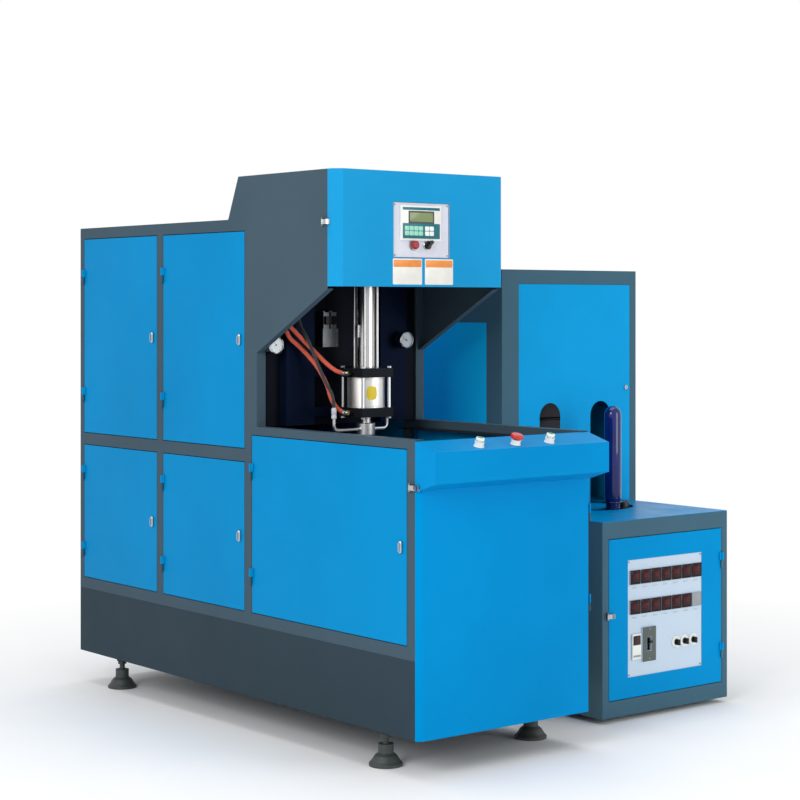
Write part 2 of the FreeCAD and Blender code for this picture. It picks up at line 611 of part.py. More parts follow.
def knuckle(x, y, low, high, radius=KNUCKLE_RADIUS):
    return round_bar(radius, (x, y, low), (x, y, high))


def hinge_heights(low, high):
    """Bottoms of the two hinge knuckles of a door."""
    inset = 0.16 * (high - low)
    return (low + inset, high - inset - KNUCKLE_LENGTH)


def fixed_hinge_side(x, y, low, leaf):
    """Lower half knuckle with its pin, welded to a post by a small leaf."""
    half = KNUCKLE_LENGTH / 2
    body = fuse([knuckle(x, y, low, low + half - PART_GAP / 2), leaf(low, low + half - PART_GAP / 2)])
    pin = round_bar(PIN_RADIUS, (x, y, low + half / 2), (x, y, low + KNUCKLE_LENGTH - 4.0))
    return fuse([body, pin])


def moving_knuckle(x, y, low, leaf):
    """Upper half knuckle with the sleeve bore, joined to the door by its leaf."""
    half = KNUCKLE_LENGTH / 2
    start = low + half + PART_GAP / 2
    sleeve = fuse([knuckle(x, y, start, low + KNUCKLE_LENGTH), leaf(start, low + KNUCKLE_LENGTH)])
    bore = round_bar(PIN_RADIUS + PIN_FIT, (x, y, start - 1.0), (x, y, low + KNUCKLE_LENGTH - 3.0))
    return sleeve.cut(bore)


SIDE_DOORS = {
    "mould_door": (Y_MOULD, Y_COLUMN, Z_LOWER, Z_DECK_LOW),
    "mid_lower_door": (Y_MID, Y_MID_POST, Z_LOWER, Z_MID),
    "mid_upper_door": (Y_MID, Y_MID_POST, Z_UPPER, Z_TOP_RAIL),
    "rear_lower_door": (Y_REAR, Y_REAR_POST, Z_LOWER, Z_MID),
    "rear_upper_door": (Y_REAR, Y_REAR_POST, Z_UPPER, Z_TOP_RAIL),
}


def side_hinge_y(name):
    """Pin line of a side door, in the middle of the gap at its rear edge."""
    return SIDE_DOORS[name][1] - DOOR_GAP / 2


def fixed_hinges():
    halves = []
    for name, (front, rear, low, high) in SIDE_DOORS.items():
        y = side_hinge_y(name)

        def leaf(z0, z1, y=y):
            return box(SIDE_HINGE_X, 0, y + 1.0, y + 12.0, z0, z1)

        halves += [fixed_hinge_side(SIDE_HINGE_X, y, z, leaf) for z in hinge_heights(low, high)]
    halves += [fixed_hinge_side(*HOOD_PIN, z, hood_fixed_leaf)
               for z in hinge_heights(HOOD_DOOR_BOTTOM, Z_HOOD)]
    halves += [fixed_hinge_side(*FRONT_PIN, z, front_fixed_leaf) for z in front_hinge_heights()]
    return halves


def hood_fixed_leaf(z0, z1):
    return box(BLOWER_WIDTH, HOOD_PIN[0], HOOD_PIN[1] + 1.0, HOOD_PIN[1] + LEAF_WIDTH, z0, z1)


def hood_moving_leaf(z0, z1):
    return box(BLOWER_WIDTH, HOOD_PIN[0], HOOD_PIN[1] - LEAF_WIDTH, HOOD_PIN[1] - 1.0, z0, z1)


def front_fixed_leaf(z0, z1):
    return box(BLOWER_WIDTH, FRONT_PIN[0], FRONT_PIN[1] + 1.0, FRONT_PIN[1] + 16.0, z0, z1)


def front_moving_leaf(z0, z1):
    return box(BLOWER_WIDTH, FRONT_PIN[0], FRONT_PIN[1] - 10.0, FRONT_PIN[1] - 1.0, z0, z1)


def front_hinge_heights():
    return hinge_heights(Z_RAIL, NOSE_LOW)


def toggle_base(x, y0, y1, z, pin_y):
    """Small plate on the left side that carries a toggle latch's pin."""
    half = TOGGLE_WIDTH / 2
    plate = box(x - 3.0, x, y0, y1, z - half, z + half)
    pin_x = x - TOGGLE_LIFT
    pin = round_bar(PIN_RADIUS, (pin_x, pin_y, z - half + 2.0), (pin_x, pin_y, z + half - 2.0))
    ears = [box(x - TOGGLE_LIFT - 4.0, x - 3.0, pin_y - 4.0, pin_y + 4.0, e, e + 4.0)
            for e in (z - half, z + half - 4.0)]
    return fuse([plate, pin] + ears)


def cabinet_frame():
    left = left_frame_bars()
    right = [mirror_x(bar) for bar in left]
    toggles = [toggle_base(0, FRONT_TOGGLE_Y - 8.0, FRONT_TOGGLE_Y + 16.0, FRONT_TOGGLE_Z, FRONT_TOGGLE_Y)]
    return group(left + right + cross_bars() + fixed_hinges() + toggles)


def fixed_panels():
    """Plain panels on the right side and the back, set in the frame like the doors."""
    panels = [mirror_x(pan_x(0, DOOR_FOLD, front, rear, low, high))
              for front, rear, low, high in SIDE_DOORS.values()]
    inner, outer = TUBE_DEPTH, BLOWER_WIDTH - TUBE_DEPTH
    for low, high in ((Z_LOWER, Z_MID), (Z_UPPER, Z_TOP_RAIL)):
        back = pan_y(0, DOOR_FOLD, inner, outer, low, high)
        panels.append(back.mirror(Vector(0, 0, 0), Vector(0, 1, 0)).translated(Vector(0, Y_BACK, 0)))
    return group(panels)


def hood_side_outline():
    return [(HOOD_SEAM_Y, HOOD_SIDE_LOW_FRONT), (Y_STRIP, HOOD_SIDE_LOW_REAR), (Y_STRIP, Z_ROOF),
            (HOOD_BACK_Y, Z_ROOF), (HOOD_BACK_Y - HOOD_SLOPE_RUN, Z_HOOD), (HOOD_SEAM_Y, Z_HOOD)]


def hood_side():
    """Left side sheet with the flange folded along its slanted lower edge."""
    sheet = side_prism(hood_side_outline(), 0, SHEET)
    rise = (HOOD_SIDE_LOW_FRONT - HOOD_SIDE_LOW_REAR) / (Y_STRIP - HOOD_SEAM_Y)
    thick = SHEET * sqrt(1 + rise * rise)
    flange = side_prism([(HOOD_SEAM_Y, HOOD_SIDE_LOW_FRONT), (Y_STRIP, HOOD_SIDE_LOW_REAR),
                         (Y_STRIP, HOOD_SIDE_LOW_REAR + thick), (HOOD_SEAM_Y, HOOD_SIDE_LOW_FRONT + thick)],
                        0, HOOD_RETURN)
    return fuse([sheet, flange])


def cabinet_covers():
    """Raised hood of folded sheet, and the flat roof of the rear cabinet."""
    left = hood_side()
    inner, outer = SHEET, BLOWER_WIDTH - SHEET
    roof = box(inner, outer, HOOD_SEAM_Y, HOOD_BACK_Y - HOOD_SLOPE_RUN, Z_HOOD - SHEET, Z_HOOD)
    lip = box(inner, outer, HOOD_SEAM_Y, HOOD_SEAM_Y + SHEET, Z_HOOD - HOOD_RETURN, Z_HOOD - SHEET)
    slope = side_prism([(HOOD_BACK_Y, Z_ROOF), (HOOD_BACK_Y - HOOD_SLOPE_RUN, Z_HOOD),
                        (HOOD_BACK_Y - HOOD_SLOPE_RUN, Z_HOOD - SHEET), (HOOD_BACK_Y - SHEET, Z_ROOF)],
                       inner, outer - inner)
    cabinet_roof = box(0, BLOWER_WIDTH, HOOD_BACK_Y, Y_BACK, Z_ROOF, Z_ROOF + SHEET)
    toggle = toggle_base(0, HOOD_TOGGLE_Y - 8.0, HOOD_TOGGLE_Y + 16.0, HOOD_TOGGLE_Z, HOOD_TOGGLE_Y)
    return group([left, mirror_x(left), fuse([roof, lip]), slope, cabinet_roof, toggle])


def inner_plates():
    """Black sheets of the blow bay: bulkhead, deck ledges beside the mould opening, and hood crossbar."""
    inner, outer = TUBE_DEPTH, BLOWER_WIDTH - TUBE_DEPTH
    back = BULKHEAD_Y + SHEET
    bulkhead = box(inner, outer, BULKHEAD_Y, back, DECK_HEIGHT, Z_ROOF)
    upper = box(SHEET, BLOWER_WIDTH - SHEET, BULKHEAD_Y, back, Z_ROOF, Z_HOOD - SHEET)
    ledge_reach = BLOWER_WIDTH / 2 - MOULD_WIDTH / 2 - 2 * TIE_BAR_IN
    ledges = [box(inner, ledge_reach, Y_MOULD, BULKHEAD_Y, Z_DECK_LOW - SHEET, Z_DECK_LOW)]
    ledges.append(mirror_x(ledges[0]))
    shelf = box(inner, outer, BULKHEAD_Y, Y_COLUMN + SHEET, DECK_HEIGHT - SHEET, DECK_HEIGHT)
    return group([bulkhead, upper, shelf] + ledges)


def foot(x, y):
    """Bell of cast iron on the floor, with the stud and nut that carry the plinth."""
    bell = revolve_z([(0, 0), (FOOT_RADIUS, 0), (FOOT_RADIUS, FOOT_RIM),
                      (FOOT_RADIUS - FOOT_STEP, FOOT_RIM + FOOT_STEP),
                      (FOOT_COLLAR_RADIUS + FOOT_FLARE, FOOT_BELL_HEIGHT),
                      (FOOT_COLLAR_RADIUS, FOOT_BELL_HEIGHT + FOOT_RIM),
                      (FOOT_COLLAR_RADIUS, FOOT_COLLAR_TOP), (0, FOOT_COLLAR_TOP)], x, y)
    stud = round_bar(FOOT_STUD_RADIUS, (x, y, FOOT_COLLAR_TOP), (x, y, FOOT_HEIGHT))
    nut_radius = FOOT_NUT_FLATS / sqrt(3)
    corners = [(x + nut_radius * cos(k * pi / 3), y + nut_radius * sin(k * pi / 3)) for k in range(6)]
    nut = plan_prism(corners, FOOT_HEIGHT - FOOT_NUT_HEIGHT, FOOT_NUT_HEIGHT)
    return [bell, fuse([stud, nut])]


def levelling_feet():
    pieces = []
    for x in (FOOT_INSET_X, BLOWER_WIDTH - FOOT_INSET_X):
        for y in (FOOT_FRONT_Y, FOOT_REAR_Y):
            pieces += foot(x, y)
    return group(pieces)


# ---- blower: doors and latches -------------------------------------------------------------------
def side_door(name):
    front, rear, low, high = SIDE_DOORS[name]
    panel = pan_x(0, DOOR_FOLD, front + DOOR_GAP, rear - DOOR_GAP, low + DOOR_GAP, high - DOOR_GAP)
    y = side_hinge_y(name)

    def leaf(z0, z1):
        return box(SIDE_HINGE_X, 0, y - LEAF_WIDTH, y - LEAF_GAP, z0, z1).fuse(
            box(SIDE_HINGE_X, SIDE_HINGE_X + LEAF_THICK, y - LEAF_WIDTH, y, z0, z1))

    sleeves = [moving_knuckle(SIDE_HINGE_X, y, z, leaf) for z in hinge_heights(low, high)]
    ly, lz = latch_place(name)
    shaft_hole = round_bar(PIN_RADIUS + 1.0, (-5.0, ly, lz), (SHEET + 5.0, ly, lz))
    return group([panel.cut(shaft_hole)] + sleeves)


def latch_place(name):
    front, rear, low, high = SIDE_DOORS[name]
    return front + DOOR_GAP + LATCH_INSET, (low + high) / 2


def side_latch(name):
    """Quarter-turn latch: oval handle outside, shaft, and a tongue behind the post when turned."""
    y, z = latch_place(name)
    half = (LATCH_LONG - LATCH_WIDE) / 2
    out, back = -HANDLE_THICK, TUBE_DEPTH + TONGUE_BEHIND
    ends = [round_bar(LATCH_WIDE / 2, (out, y, z + s * half), (-PART_GAP, y, z + s * half)) for s in (-1, 1)]
    bridge = box(out, -PART_GAP, y - LATCH_WIDE / 2, y + LATCH_WIDE / 2, z - half, z + half)
    grip = box(out - GRIP_HEIGHT, out, y - GRIP_WIDTH / 2, y + GRIP_WIDTH / 2, z - half, z + half)
    shaft = round_bar(PIN_RADIUS + LATCH_SHAFT_OVER, (out, y, z), (back + TONGUE_THICK + 1.0, y, z))
    tongue = box(back, back + TONGUE_THICK, y - TONGUE_HALF, y + TONGUE_HALF,
                 z - TONGUE_HALF, z + TONGUE_LENGTH)
    return fuse([bridge, grip, shaft, tongue] + ends)


# ---- blower: hood door and its controls ----------------------------------------------------------
def hood_door_shell():
    flange = HOOD_HINGE_Y - HOOD_DOOR_FLANGE
    w = BLOWER_WIDTH
    outline = [(0, HOOD_HINGE_Y), (0, flange), (HOOD_DOOR_CHAMFER, HOOD_FACE_Y),
               (w - HOOD_DOOR_CHAMFER, HOOD_FACE_Y), (w, flange), (w, HOOD_HINGE_Y)]
    t = SHEET
    c = HOOD_DOOR_CHAMFER + t * tan(pi / 8)
    inner = [(t, HOOD_HINGE_Y), (t, flange + t * tan(pi / 8)), (c, HOOD_FACE_Y + t),
             (w - c, HOOD_FACE_Y + t), (w - t, flange + t * tan(pi / 8)), (w - t, HOOD_HINGE_Y)]
    height = Z_HOOD - HOOD_DOOR_BOTTOM
    return plan_prism(outline, HOOD_DOOR_BOTTOM, height).cut(
        plan_prism(inner, HOOD_DOOR_BOTTOM + t, height - 2 * t))


def hood_front_door():
    window = box(PLATE_X, PLATE_X + PLATE_WIDTH, HOOD_FACE_Y - 1.0, HOOD_FACE_Y + SHEET + 1.0,
                 PLATE_LOW, PLATE_LOW + PLATE_HEIGHT)
    sleeves = [moving_knuckle(*HOOD_PIN, z, hood_moving_leaf)
               for z in hinge_heights(HOOD_DOOR_BOTTOM, Z_HOOD)]
    strike = toggle_strike(0, HOOD_HINGE_Y - 16.0, HOOD_TOGGLE_Z)
    return group([hood_door_shell().cut(window)] + sleeves + [strike])


def toggle_strike(x, y, z):
    """Small catch block under the free end of a toggle latch."""
    return box(x - 5.0, x, y, y + 10.0, z - TOGGLE_WIDTH / 2 + 4.0, z + TOGGLE_WIDTH / 2 - 4.0)


def toggle_latch(x, pin_y, z):
    """Flap that turns on the toggle pin and lies over the catch."""
    half = TOGGLE_WIDTH / 2 - 4.0 - PART_GAP
    eye = tube(PIN_RADIUS + 3.0, PIN_RADIUS + PIN_FIT, (x - TOGGLE_LIFT, pin_y, z - half),
               (x - TOGGLE_LIFT, pin_y, z + half))
    arm = box(x - TOGGLE_LIFT - 3.5, x - TOGGLE_LIFT + 3.0, pin_y - TOGGLE_REACH, pin_y - PIN_RADIUS - 1.0,
              z - half, z + half)
    lip = box(x - TOGGLE_LIFT - 8.0, x - TOGGLE_LIFT - 3.5, pin_y - TOGGLE_REACH, pin_y - TOGGLE_REACH + 4.0,
              z - half, z + half)
    return fuse([eye, arm, lip])


def control_plate():
    """Pale plate that closes the hood door's window from behind."""
    edge, y = PLATE_EDGE, PLATE_FACE
    plate = box(PLATE_X - edge, PLATE_X + PLATE_WIDTH + edge, y, y + SHEET,
                PLATE_LOW - edge, PLATE_LOW + PLATE_HEIGHT + edge)
    frame = box(PLATE_X - edge, PLATE_X + PLATE_WIDTH + edge, HOOD_FACE_Y + SHEET, y,
                PLATE_LOW - edge, PLATE_LOW + PLATE_HEIGHT + edge).cut(
        box(PLATE_X, PLATE_X + PLATE_WIDTH, HOOD_FACE_Y, y, PLATE_LOW, PLATE_LOW + PLATE_HEIGHT))
    holes = [round_bar(SWITCH_SHAFT + PART_GAP, (x, y - 1.0, SWITCH_HEIGHT),
                       (x, y + SHEET + 1.0, SWITCH_HEIGHT))
             for x in (STOP_X, SELECTOR_X)]
    unit_hole = box(KEYPAD_X + 8.0, KEYPAD_X + KEYPAD_WIDTH - 8.0, y - 1.0, y + SHEET + 1.0,
                    KEYPAD_LOW + 8.0, KEYPAD_LOW + KEYPAD_HEIGHT - 8.0)
    return fuse([plate, frame]).cut(group(holes + [unit_hole]))


def keypad_unit():
    """Operator terminal: bezel with a sunk display and raised keys, and its housing behind the plate."""
    y = PLATE_FACE
    face = y - KEYPAD_PROUD
    x0, x1 = KEYPAD_X, KEYPAD_X + KEYPAD_WIDTH
    z0, z1 = KEYPAD_LOW, KEYPAD_LOW + KEYPAD_HEIGHT
    bezel = box(x0, x1, face, y, z0, z1)
    lip = KEYPAD_LIP
    housing = box(x0 + lip, x1 - lip, y, y + KEYPAD_HOUSING, z0 + lip, z1 - lip)
    display = box(x0 + DISPLAY_LEFT, x1 - DISPLAY_RIGHT, face - 1.0, face + DISPLAY_SUNK,
                  z0 + DISPLAY_RISE, z0 + DISPLAY_TOP)
    keys = []
    for row in range(KEY_ROWS):
        for column in range(KEY_COLUMNS):
            left = x0 + KEYS_INSET + column * KEY_PITCH + (KEY_BLOCK_GAP if column >= KEY_BLOCK else 0.0)
            bottom = z0 + KEYS_RISE + row * (KEY_HEIGHT + KEY_GAP)
            keys.append(box(left, left + KEY_PITCH - KEY_GAP, face - KEY_PROUD, face,
                            bottom, bottom + KEY_HEIGHT))
    return fuse([bezel, housing] + keys).cut(display)


def button_cap(radius, low, high):
    """Round cap that stands on Z, with its top edge rolled over in three short cones."""
    roll = 0.4 * (high - low)
    edge = [(radius - roll * (1 - cos(a)), high - roll * (1 - sin(a))) for a in (0, pi / 6, pi / 3, pi / 2)]
    return revolve_z([(0, low), (radius, low)] + edge + [(0, high)])


def hood_stop_button():
    """Red stop button facing the operator, with its shaft through the plate."""
    cap = button_cap(STOP_RADIUS, BUTTON_TRAVEL + 1.0, BUTTON_TRAVEL + 14.0)
    shaft = round_bar(SWITCH_SHAFT, (0, 0, -SWITCH_SHAFT_END), (0, 0, BUTTON_TRAVEL + 2.0))
    button = fuse([cap, shaft])
    button.Placement = Placement(Vector(STOP_X, PLATE_FACE, SWITCH_HEIGHT), Rotation(Vector(1, 0, 0), 90))
    return button


def hood_selector():
    """Selector with a lever across its ring, turned to one side at rest."""
    x, y, z = SELECTOR_X, PLATE_FACE, SWITCH_HEIGHT
    front = y - SELECTOR_RING
    ring = round_bar(SELECTOR_RADIUS, (x, front, z), (x, y - PART_GAP, z))
    shaft = round_bar(SWITCH_SHAFT, (x, front + 2.0, z), (x, y + SWITCH_SHAFT_END, z))
    lever = box(x - SELECTOR_LEVER / 2, x + SELECTOR_LEVER / 2, front - LEVER_PROUD, front,
                z - LEVER_SHORT_END, z + LEVER_LONG_END)
    lever.rotate(Vector(x, y, z), Vector(0, 1, 0), SELECTOR_REST)
    return fuse([ring, shaft, lever])


# ---- blower: front panel and start buttons -------------------------------------------------------
def front_panel_shell():
    w, c, t = BLOWER_WIDTH, FRONT_PANEL_CHAMFER, SHEET
    outline = [(0, NOSE_BACK), (0, FRONT_Y + c), (c, FRONT_Y),
               (w - c, FRONT_Y), (w, FRONT_Y + c), (w, NOSE_BACK)]
    b = c + t * tan(pi / 8)
    inner = [(t, NOSE_BACK), (t, FRONT_Y + b), (b, FRONT_Y + t), (w - b, FRONT_Y + t),
             (w - t, FRONT_Y + b), (w - t, NOSE_BACK)]
    height = NOSE_TOP - NOSE_SEAM - FOOT_HEIGHT
    pan = plan_prism(outline, FOOT_HEIGHT, height).cut(plan_prism(inner, FOOT_HEIGHT + t, height - 2 * t))
    nose = side_prism([(NOSE_BACK, NOSE_TOP), (NOSE_FRONT, NOSE_EDGE_TOP), (NOSE_FRONT, NOSE_EDGE_LOW),
                       (NOSE_BACK, NOSE_LOW)], 0, w)
    hollow = side_prism([(NOSE_BACK, NOSE_TOP - t / cos(NOSE_SLOPE)), (NOSE_FRONT + t, NOSE_EDGE_TOP - t),
                         (NOSE_FRONT + t, NOSE_EDGE_LOW + t), (NOSE_BACK, NOSE_LOW + 1.1 * t)], t, w - 2 * t)
    pan_slot = box(t, w - t, FRONT_Y - 1.0, NOSE_BACK, NOSE_LOW + 3 * t, NOSE_TOP - NOSE_SEAM - 2 * t)
    return fuse([pan.cut(pan_slot), nose.cut(hollow)])


def nose_frame(x):
    """Placement whose Z stands on the nose's sloped top, in its row of buttons."""
    y = NOSE_FRONT + BUTTON_SEAT * (NOSE_BACK - NOSE_FRONT)
    z = NOSE_EDGE_TOP + BUTTON_SEAT * NOSE_TOP_FALL
    return Placement(Vector(x, y, z), Rotation(Vector(1, 0, 0), degrees(NOSE_SLOPE)))


def on_nose(shape, x):
    placed = shape.copy()
    placed.Placement = nose_frame(x)
    return placed


def front_panel():
    shell = front_panel_shell()
    collars = []
    bore = BUTTON_SHAFT + BUTTON_BORE
    for x in (START_LEFT_X, EMERGENCY_X, START_RIGHT_X):
        shell = shell.cut(on_nose(round_bar(bore, (0, 0, -8.0), (0, 0, 8.0)), x))
        collars.append(on_nose(tube(BUTTON_RADIUS, bore, (0, 0, 0.02), (0, 0, COLLAR_HEIGHT)), x))
    sleeves = [moving_knuckle(*FRONT_PIN, z, front_moving_leaf) for z in front_hinge_heights()]
    strike = toggle_strike(0, NOSE_BACK - 26.0, FRONT_TOGGLE_Z)
    return group([shell] + collars + sleeves + [strike])


def press_button(x, cap_radius, cap_height):
    low = COLLAR_HEIGHT + BUTTON_TRAVEL + 1.0
    cap = button_cap(cap_radius, low, low + cap_height)
    shaft = round_bar(BUTTON_SHAFT, (0, 0, -10.0), (0, 0, COLLAR_HEIGHT + BUTTON_TRAVEL + 2.0))
    return on_nose(fuse([cap, shaft]), x)


# ---- blower: blow station ------------------------------------------------------------------------
def station_bar(radius, z0, z1, dx=0.0, dy=0.0):
    return round_bar(radius, (MID_X + dx, STATION_Y + dy, z0), (MID_X + dx, STATION_Y + dy, z1))


def station_plate(z0, half, thick):
    return box(MID_X - half, MID_X + half, STATION_Y - half, STATION_Y + half, z0, z0 + thick)


def stretch_cylinder():
    barrel = station_bar(STRETCH_TUBE_RADIUS, STRETCH_LOW, STRETCH_TOP).cut(
        station_bar(STRETCH_TUBE_RADIUS - STRETCH_TUBE_WALL, STRETCH_LOW, STRETCH_TOP))
    cap = station_plate(STRETCH_TOP, TIE_ROD_PITCH + 10.0, STATION_PLATE_THICK)
    corner = TIE_ROD_PITCH / sqrt(2)
    rods = [station_bar(TIE_ROD_RADIUS, STRETCH_LOW, STRETCH_TOP, sx * corner, sy * corner)
            for sx in (-1, 1) for sy in (-1, 1)]
    low, high = STRETCH_LOW + SENSOR_RISE, STRETCH_LOW + SENSOR_RISE + SENSOR_LENGTH
    side = MID_X - STRETCH_TUBE_RADIUS
    half = SENSOR_WIDTH / 2
    sensor = box(side - SENSOR_PROUD, side, STATION_Y - half, STATION_Y + half, low, high)
    return group([barrel, cap] + rods + [sensor.cut(station_bar(STRETCH_TUBE_RADIUS, low, high))])


def seal_cylinder():
    half = STATION_PLATE / 2
    upper = station_plate(STATION_TOP_PLATE, half, STATION_PLATE_THICK).cut(
        station_bar(STRETCH_ROD_RADIUS + 1.0, STATION_TOP_PLATE, STRETCH_LOW))
    lower = station_plate(LOWER_PLATE_LOW, half, STATION_PLATE_THICK).cut(
        station_bar(PISTON_ROD_RADIUS + PIN_FIT, LOWER_PLATE_LOW, LOWER_PLATE_LOW + STATION_PLATE_THICK))
    low = LOWER_PLATE_LOW + STATION_PLATE_THICK
    barrel = station_bar(BARREL_RADIUS, low, STATION_TOP_PLATE).cut(
        station_bar(BARREL_RADIUS - BARREL_WALL, low, STATION_TOP_PLATE))
    pitch = CORNER_ROD_PITCH
    rods = [station_bar(CORNER_ROD_RADIUS, low, STATION_TOP_PLATE, sx * pitch, sy * pitch)
            for sx in (-1, 1) for sy in (-1, 1)]
    fittings = [round_bar(HOSE_RADIUS - 1.0, hose[-1], (MID_X - half, hose[-1][1], hose[-1][2]))
                for hose in (UPPER_HOSE, LOWER_HOSE)]
    return group([upper, lower, barrel] + rods + fittings)


def blow_nozzle():
    """Hollow piston with its rod, the nozzle block, and the two air elbows screwed into it."""
    low = LOWER_PLATE_LOW + STATION_PLATE_THICK
    piston_top = STATION_TOP_PLATE - 2.0
    piston_low = low + NOZZLE_TRAVEL + 3.0
    piston = station_bar(BARREL_RADIUS - BARREL_WALL - PART_GAP, piston_low, piston_top)
    stem = station_bar(PISTON_ROD_RADIUS, NOZZLE_TOP, piston_low)
    block = station_bar(NOZZLE_RADIUS, NOZZLE_LOW, NOZZLE_TOP)
    block = block.makeChamfer(3.0, [block.Edges[0], block.Edges[2]])
    bore = station_bar(STRETCH_ROD_RADIUS + 1.0, NOZZLE_LOW - 1.0, piston_top + 1.0)
    mid = NOZZLE_LOW + 0.5 * NOZZLE_HEIGHT
    foot_x, foot_y, foot_z = FERRULE_FOOT
    left = bent_pipe([(MID_X - NOZZLE_RADIUS + 2.0, STATION_Y, mid), (foot_x, foot_y, mid),
                      (foot_x, foot_y, foot_z - PART_GAP)], ELBOW_RADIUS)
    right_x = MID_X + STATION_PLATE / 2 + 28.0
    right = bent_pipe([(MID_X + NOZZLE_RADIUS - 2.0, STATION_Y, mid), (right_x, STATION_Y, mid),
                       (right_x, STATION_Y, LOWER_PLATE_LOW - 6.0)], ELBOW_RADIUS)
    return fuse([piston, stem, block, left, right]).cut(bore)


def stretch_rod():
    """Piston head high in the stretch cylinder, and the rod that runs down through the nozzle."""
    head_top = STRETCH_TOP - 8.0
    head = station_bar(STRETCH_TUBE_RADIUS - STRETCH_TUBE_WALL - PART_GAP, head_top - 30.0, head_top)
    return fuse([head, station_bar(STRETCH_ROD_RADIUS, NOZZLE_LOW + 8.0, head_top - 30.0)])


def station_bracket():
    """Upright beams on the bulkhead, joined by a crosshead whose arms hold the cylinder's plates."""
    front = BULKHEAD_Y - COLUMN_BEAM
    inner = BEAM_INSET + BEAM_WIDTH
    beams = [hollow_bar(BEAM_INSET, inner, front, BULKHEAD_Y, DECK_HEIGHT, Z_HOOD - 2 * SHEET, "z")]
    beams.append(mirror_x(beams[0]))
    cross = [hollow_bar(inner, BLOWER_WIDTH - inner, front, BULKHEAD_Y, z, z + STATION_PLATE_THICK, "x")
             for z in (LOWER_PLATE_LOW, STATION_TOP_PLATE, STRETCH_TOP)]
    plate_back = STATION_Y + STATION_PLATE / 2
    arms = [box(MID_X - ARM_HALF, MID_X + ARM_HALF, plate_back, front, z, z + STATION_PLATE_THICK)
            for z in (LOWER_PLATE_LOW, STATION_TOP_PLATE)]
    arms.append(box(MID_X - ARM_HALF, MID_X + ARM_HALF, STATION_Y + TIE_ROD_PITCH + 10.0, front,
                    STRETCH_TOP, STRETCH_TOP + STATION_PLATE_THICK))
    return group(beams + cross + arms)


def pressure_gauges():
    """Round gauges on short stems, facing the operator."""
    pieces = []
    for x, z, seat in GAUGES:
        back = seat - GAUGE_STEM
        case = round_bar(GAUGE_RADIUS, (x, back - GAUGE_DEPTH, z), (x, back, z))
        face = back - GAUGE_DEPTH
        dish = round_bar(GAUGE_RADIUS - GAUGE_RIM, (x, face - 1.0, z), (x, face + GAUGE_SUNK, z))
        stem = round_bar(7.0, (x, back - 1.0, z), (x, seat, z))
        pieces.append(fuse([case.cut(dish), stem]))
    return group(pieces)


def air_valve_unit():
    """Valves and port blocks screwed to the bulkhead and to the left upright."""
    x0, x1 = VALVE_X, VALVE_X + VALVE_WIDTH
    front, coil_low = BULKHEAD_Y - VALVE_DEPTH, VALVE_LOW + VALVE_HEIGHT
    body = box(x0, x1, front, BULKHEAD_Y, VALVE_LOW, coil_low)
    coils = [box(x, x + COIL_WIDTH, front + 4.0, BULKHEAD_Y, coil_low, coil_low + COIL_HEIGHT)
             for x in (x0 + 6.0, x1 - 6.0 - COIL_WIDTH)]
    start_x, start_y, start_z = UPPER_HOSE[0]
    port = box(start_x - PORT_HALF - 1.0, start_x + PORT_HALF + 1.0, start_y, BULKHEAD_Y,
               LOWER_HOSE[0][2] - PORT_HALF, start_z + PORT_HALF)
    beam_front = BULKHEAD_Y - COLUMN_BEAM
    bx, by, bz = BLACK_HOSE[0]
    black_port = box(bx - PORT_HALF, bx + PORT_HALF, by - PORT_HALF, beam_front, bz, bz + BLACK_PORT_HEIGHT)
    return group([fuse([body] + coils), port, black_port])


# ---- blower: hoses that stay in their clips ------------------------------------------------------
def hose_route(start_x, end_x, stations):
    """Route points from (share of the way across, depth and height from the blow axis at the lower plate)."""
    return [(start_x + share * (end_x - start_x), STATION_Y + dy, LOWER_PLATE_LOW + dz)
            for share, dy, dz in stations]


UPPER_INLET = STATION_TOP_PLATE + STATION_PLATE_THICK / 2 - LOWER_PLATE_LOW
LOWER_INLET = STATION_PLATE_THICK / 2
UPPER_HOSE = hose_route(RED_PORT_INSET, MID_X - RED_END_REACH, [
    (0.0, 125.0, 355.0), (0.0, 94.0, 355.0), (0.164, 76.0, 315.0), (0.343, 68.0, 279.0), (0.532, 52.0, 239.0),
    (0.682, 20.0, 195.0), (0.821, -15.0, UPPER_INLET), (1.0, -15.0, UPPER_INLET)])
LOWER_HOSE = hose_route(RED_PORT_INSET, MID_X - RED_END_REACH, [
    (0.0, 125.0, 329.0), (0.0, 96.0, 329.0), (0.065, 92.0, 295.0), (0.264, 88.0, 267.0), (0.438, 78.0, 231.0),
    (0.587, 52.0, 184.0), (0.706, 28.0, 119.0), (0.751, 16.0, 61.0), (0.861, -15.0, LOWER_INLET),
    (1.0, -15.0, LOWER_INLET)])
BLACK_HOSE = hose_route(BLACK_PORT_INSET, MID_X - FERRULE_REACH, [
    (0.0, 99.0, 384.0), (0.0, 99.0, 347.0), (0.079, 50.0, 295.0), (0.289, 38.0, 239.0), (0.553, 22.0, 179.0),
    (0.763, 6.0, 124.0), (1.0, -18.0, 79.0), (1.0, -18.0, FERRULE_LENGTH - FERRULE_GAP)])
FERRULE_FOOT = (BLACK_HOSE[-1][0], BLACK_HOSE[-1][1], LOWER_PLATE_LOW - FERRULE_GAP)


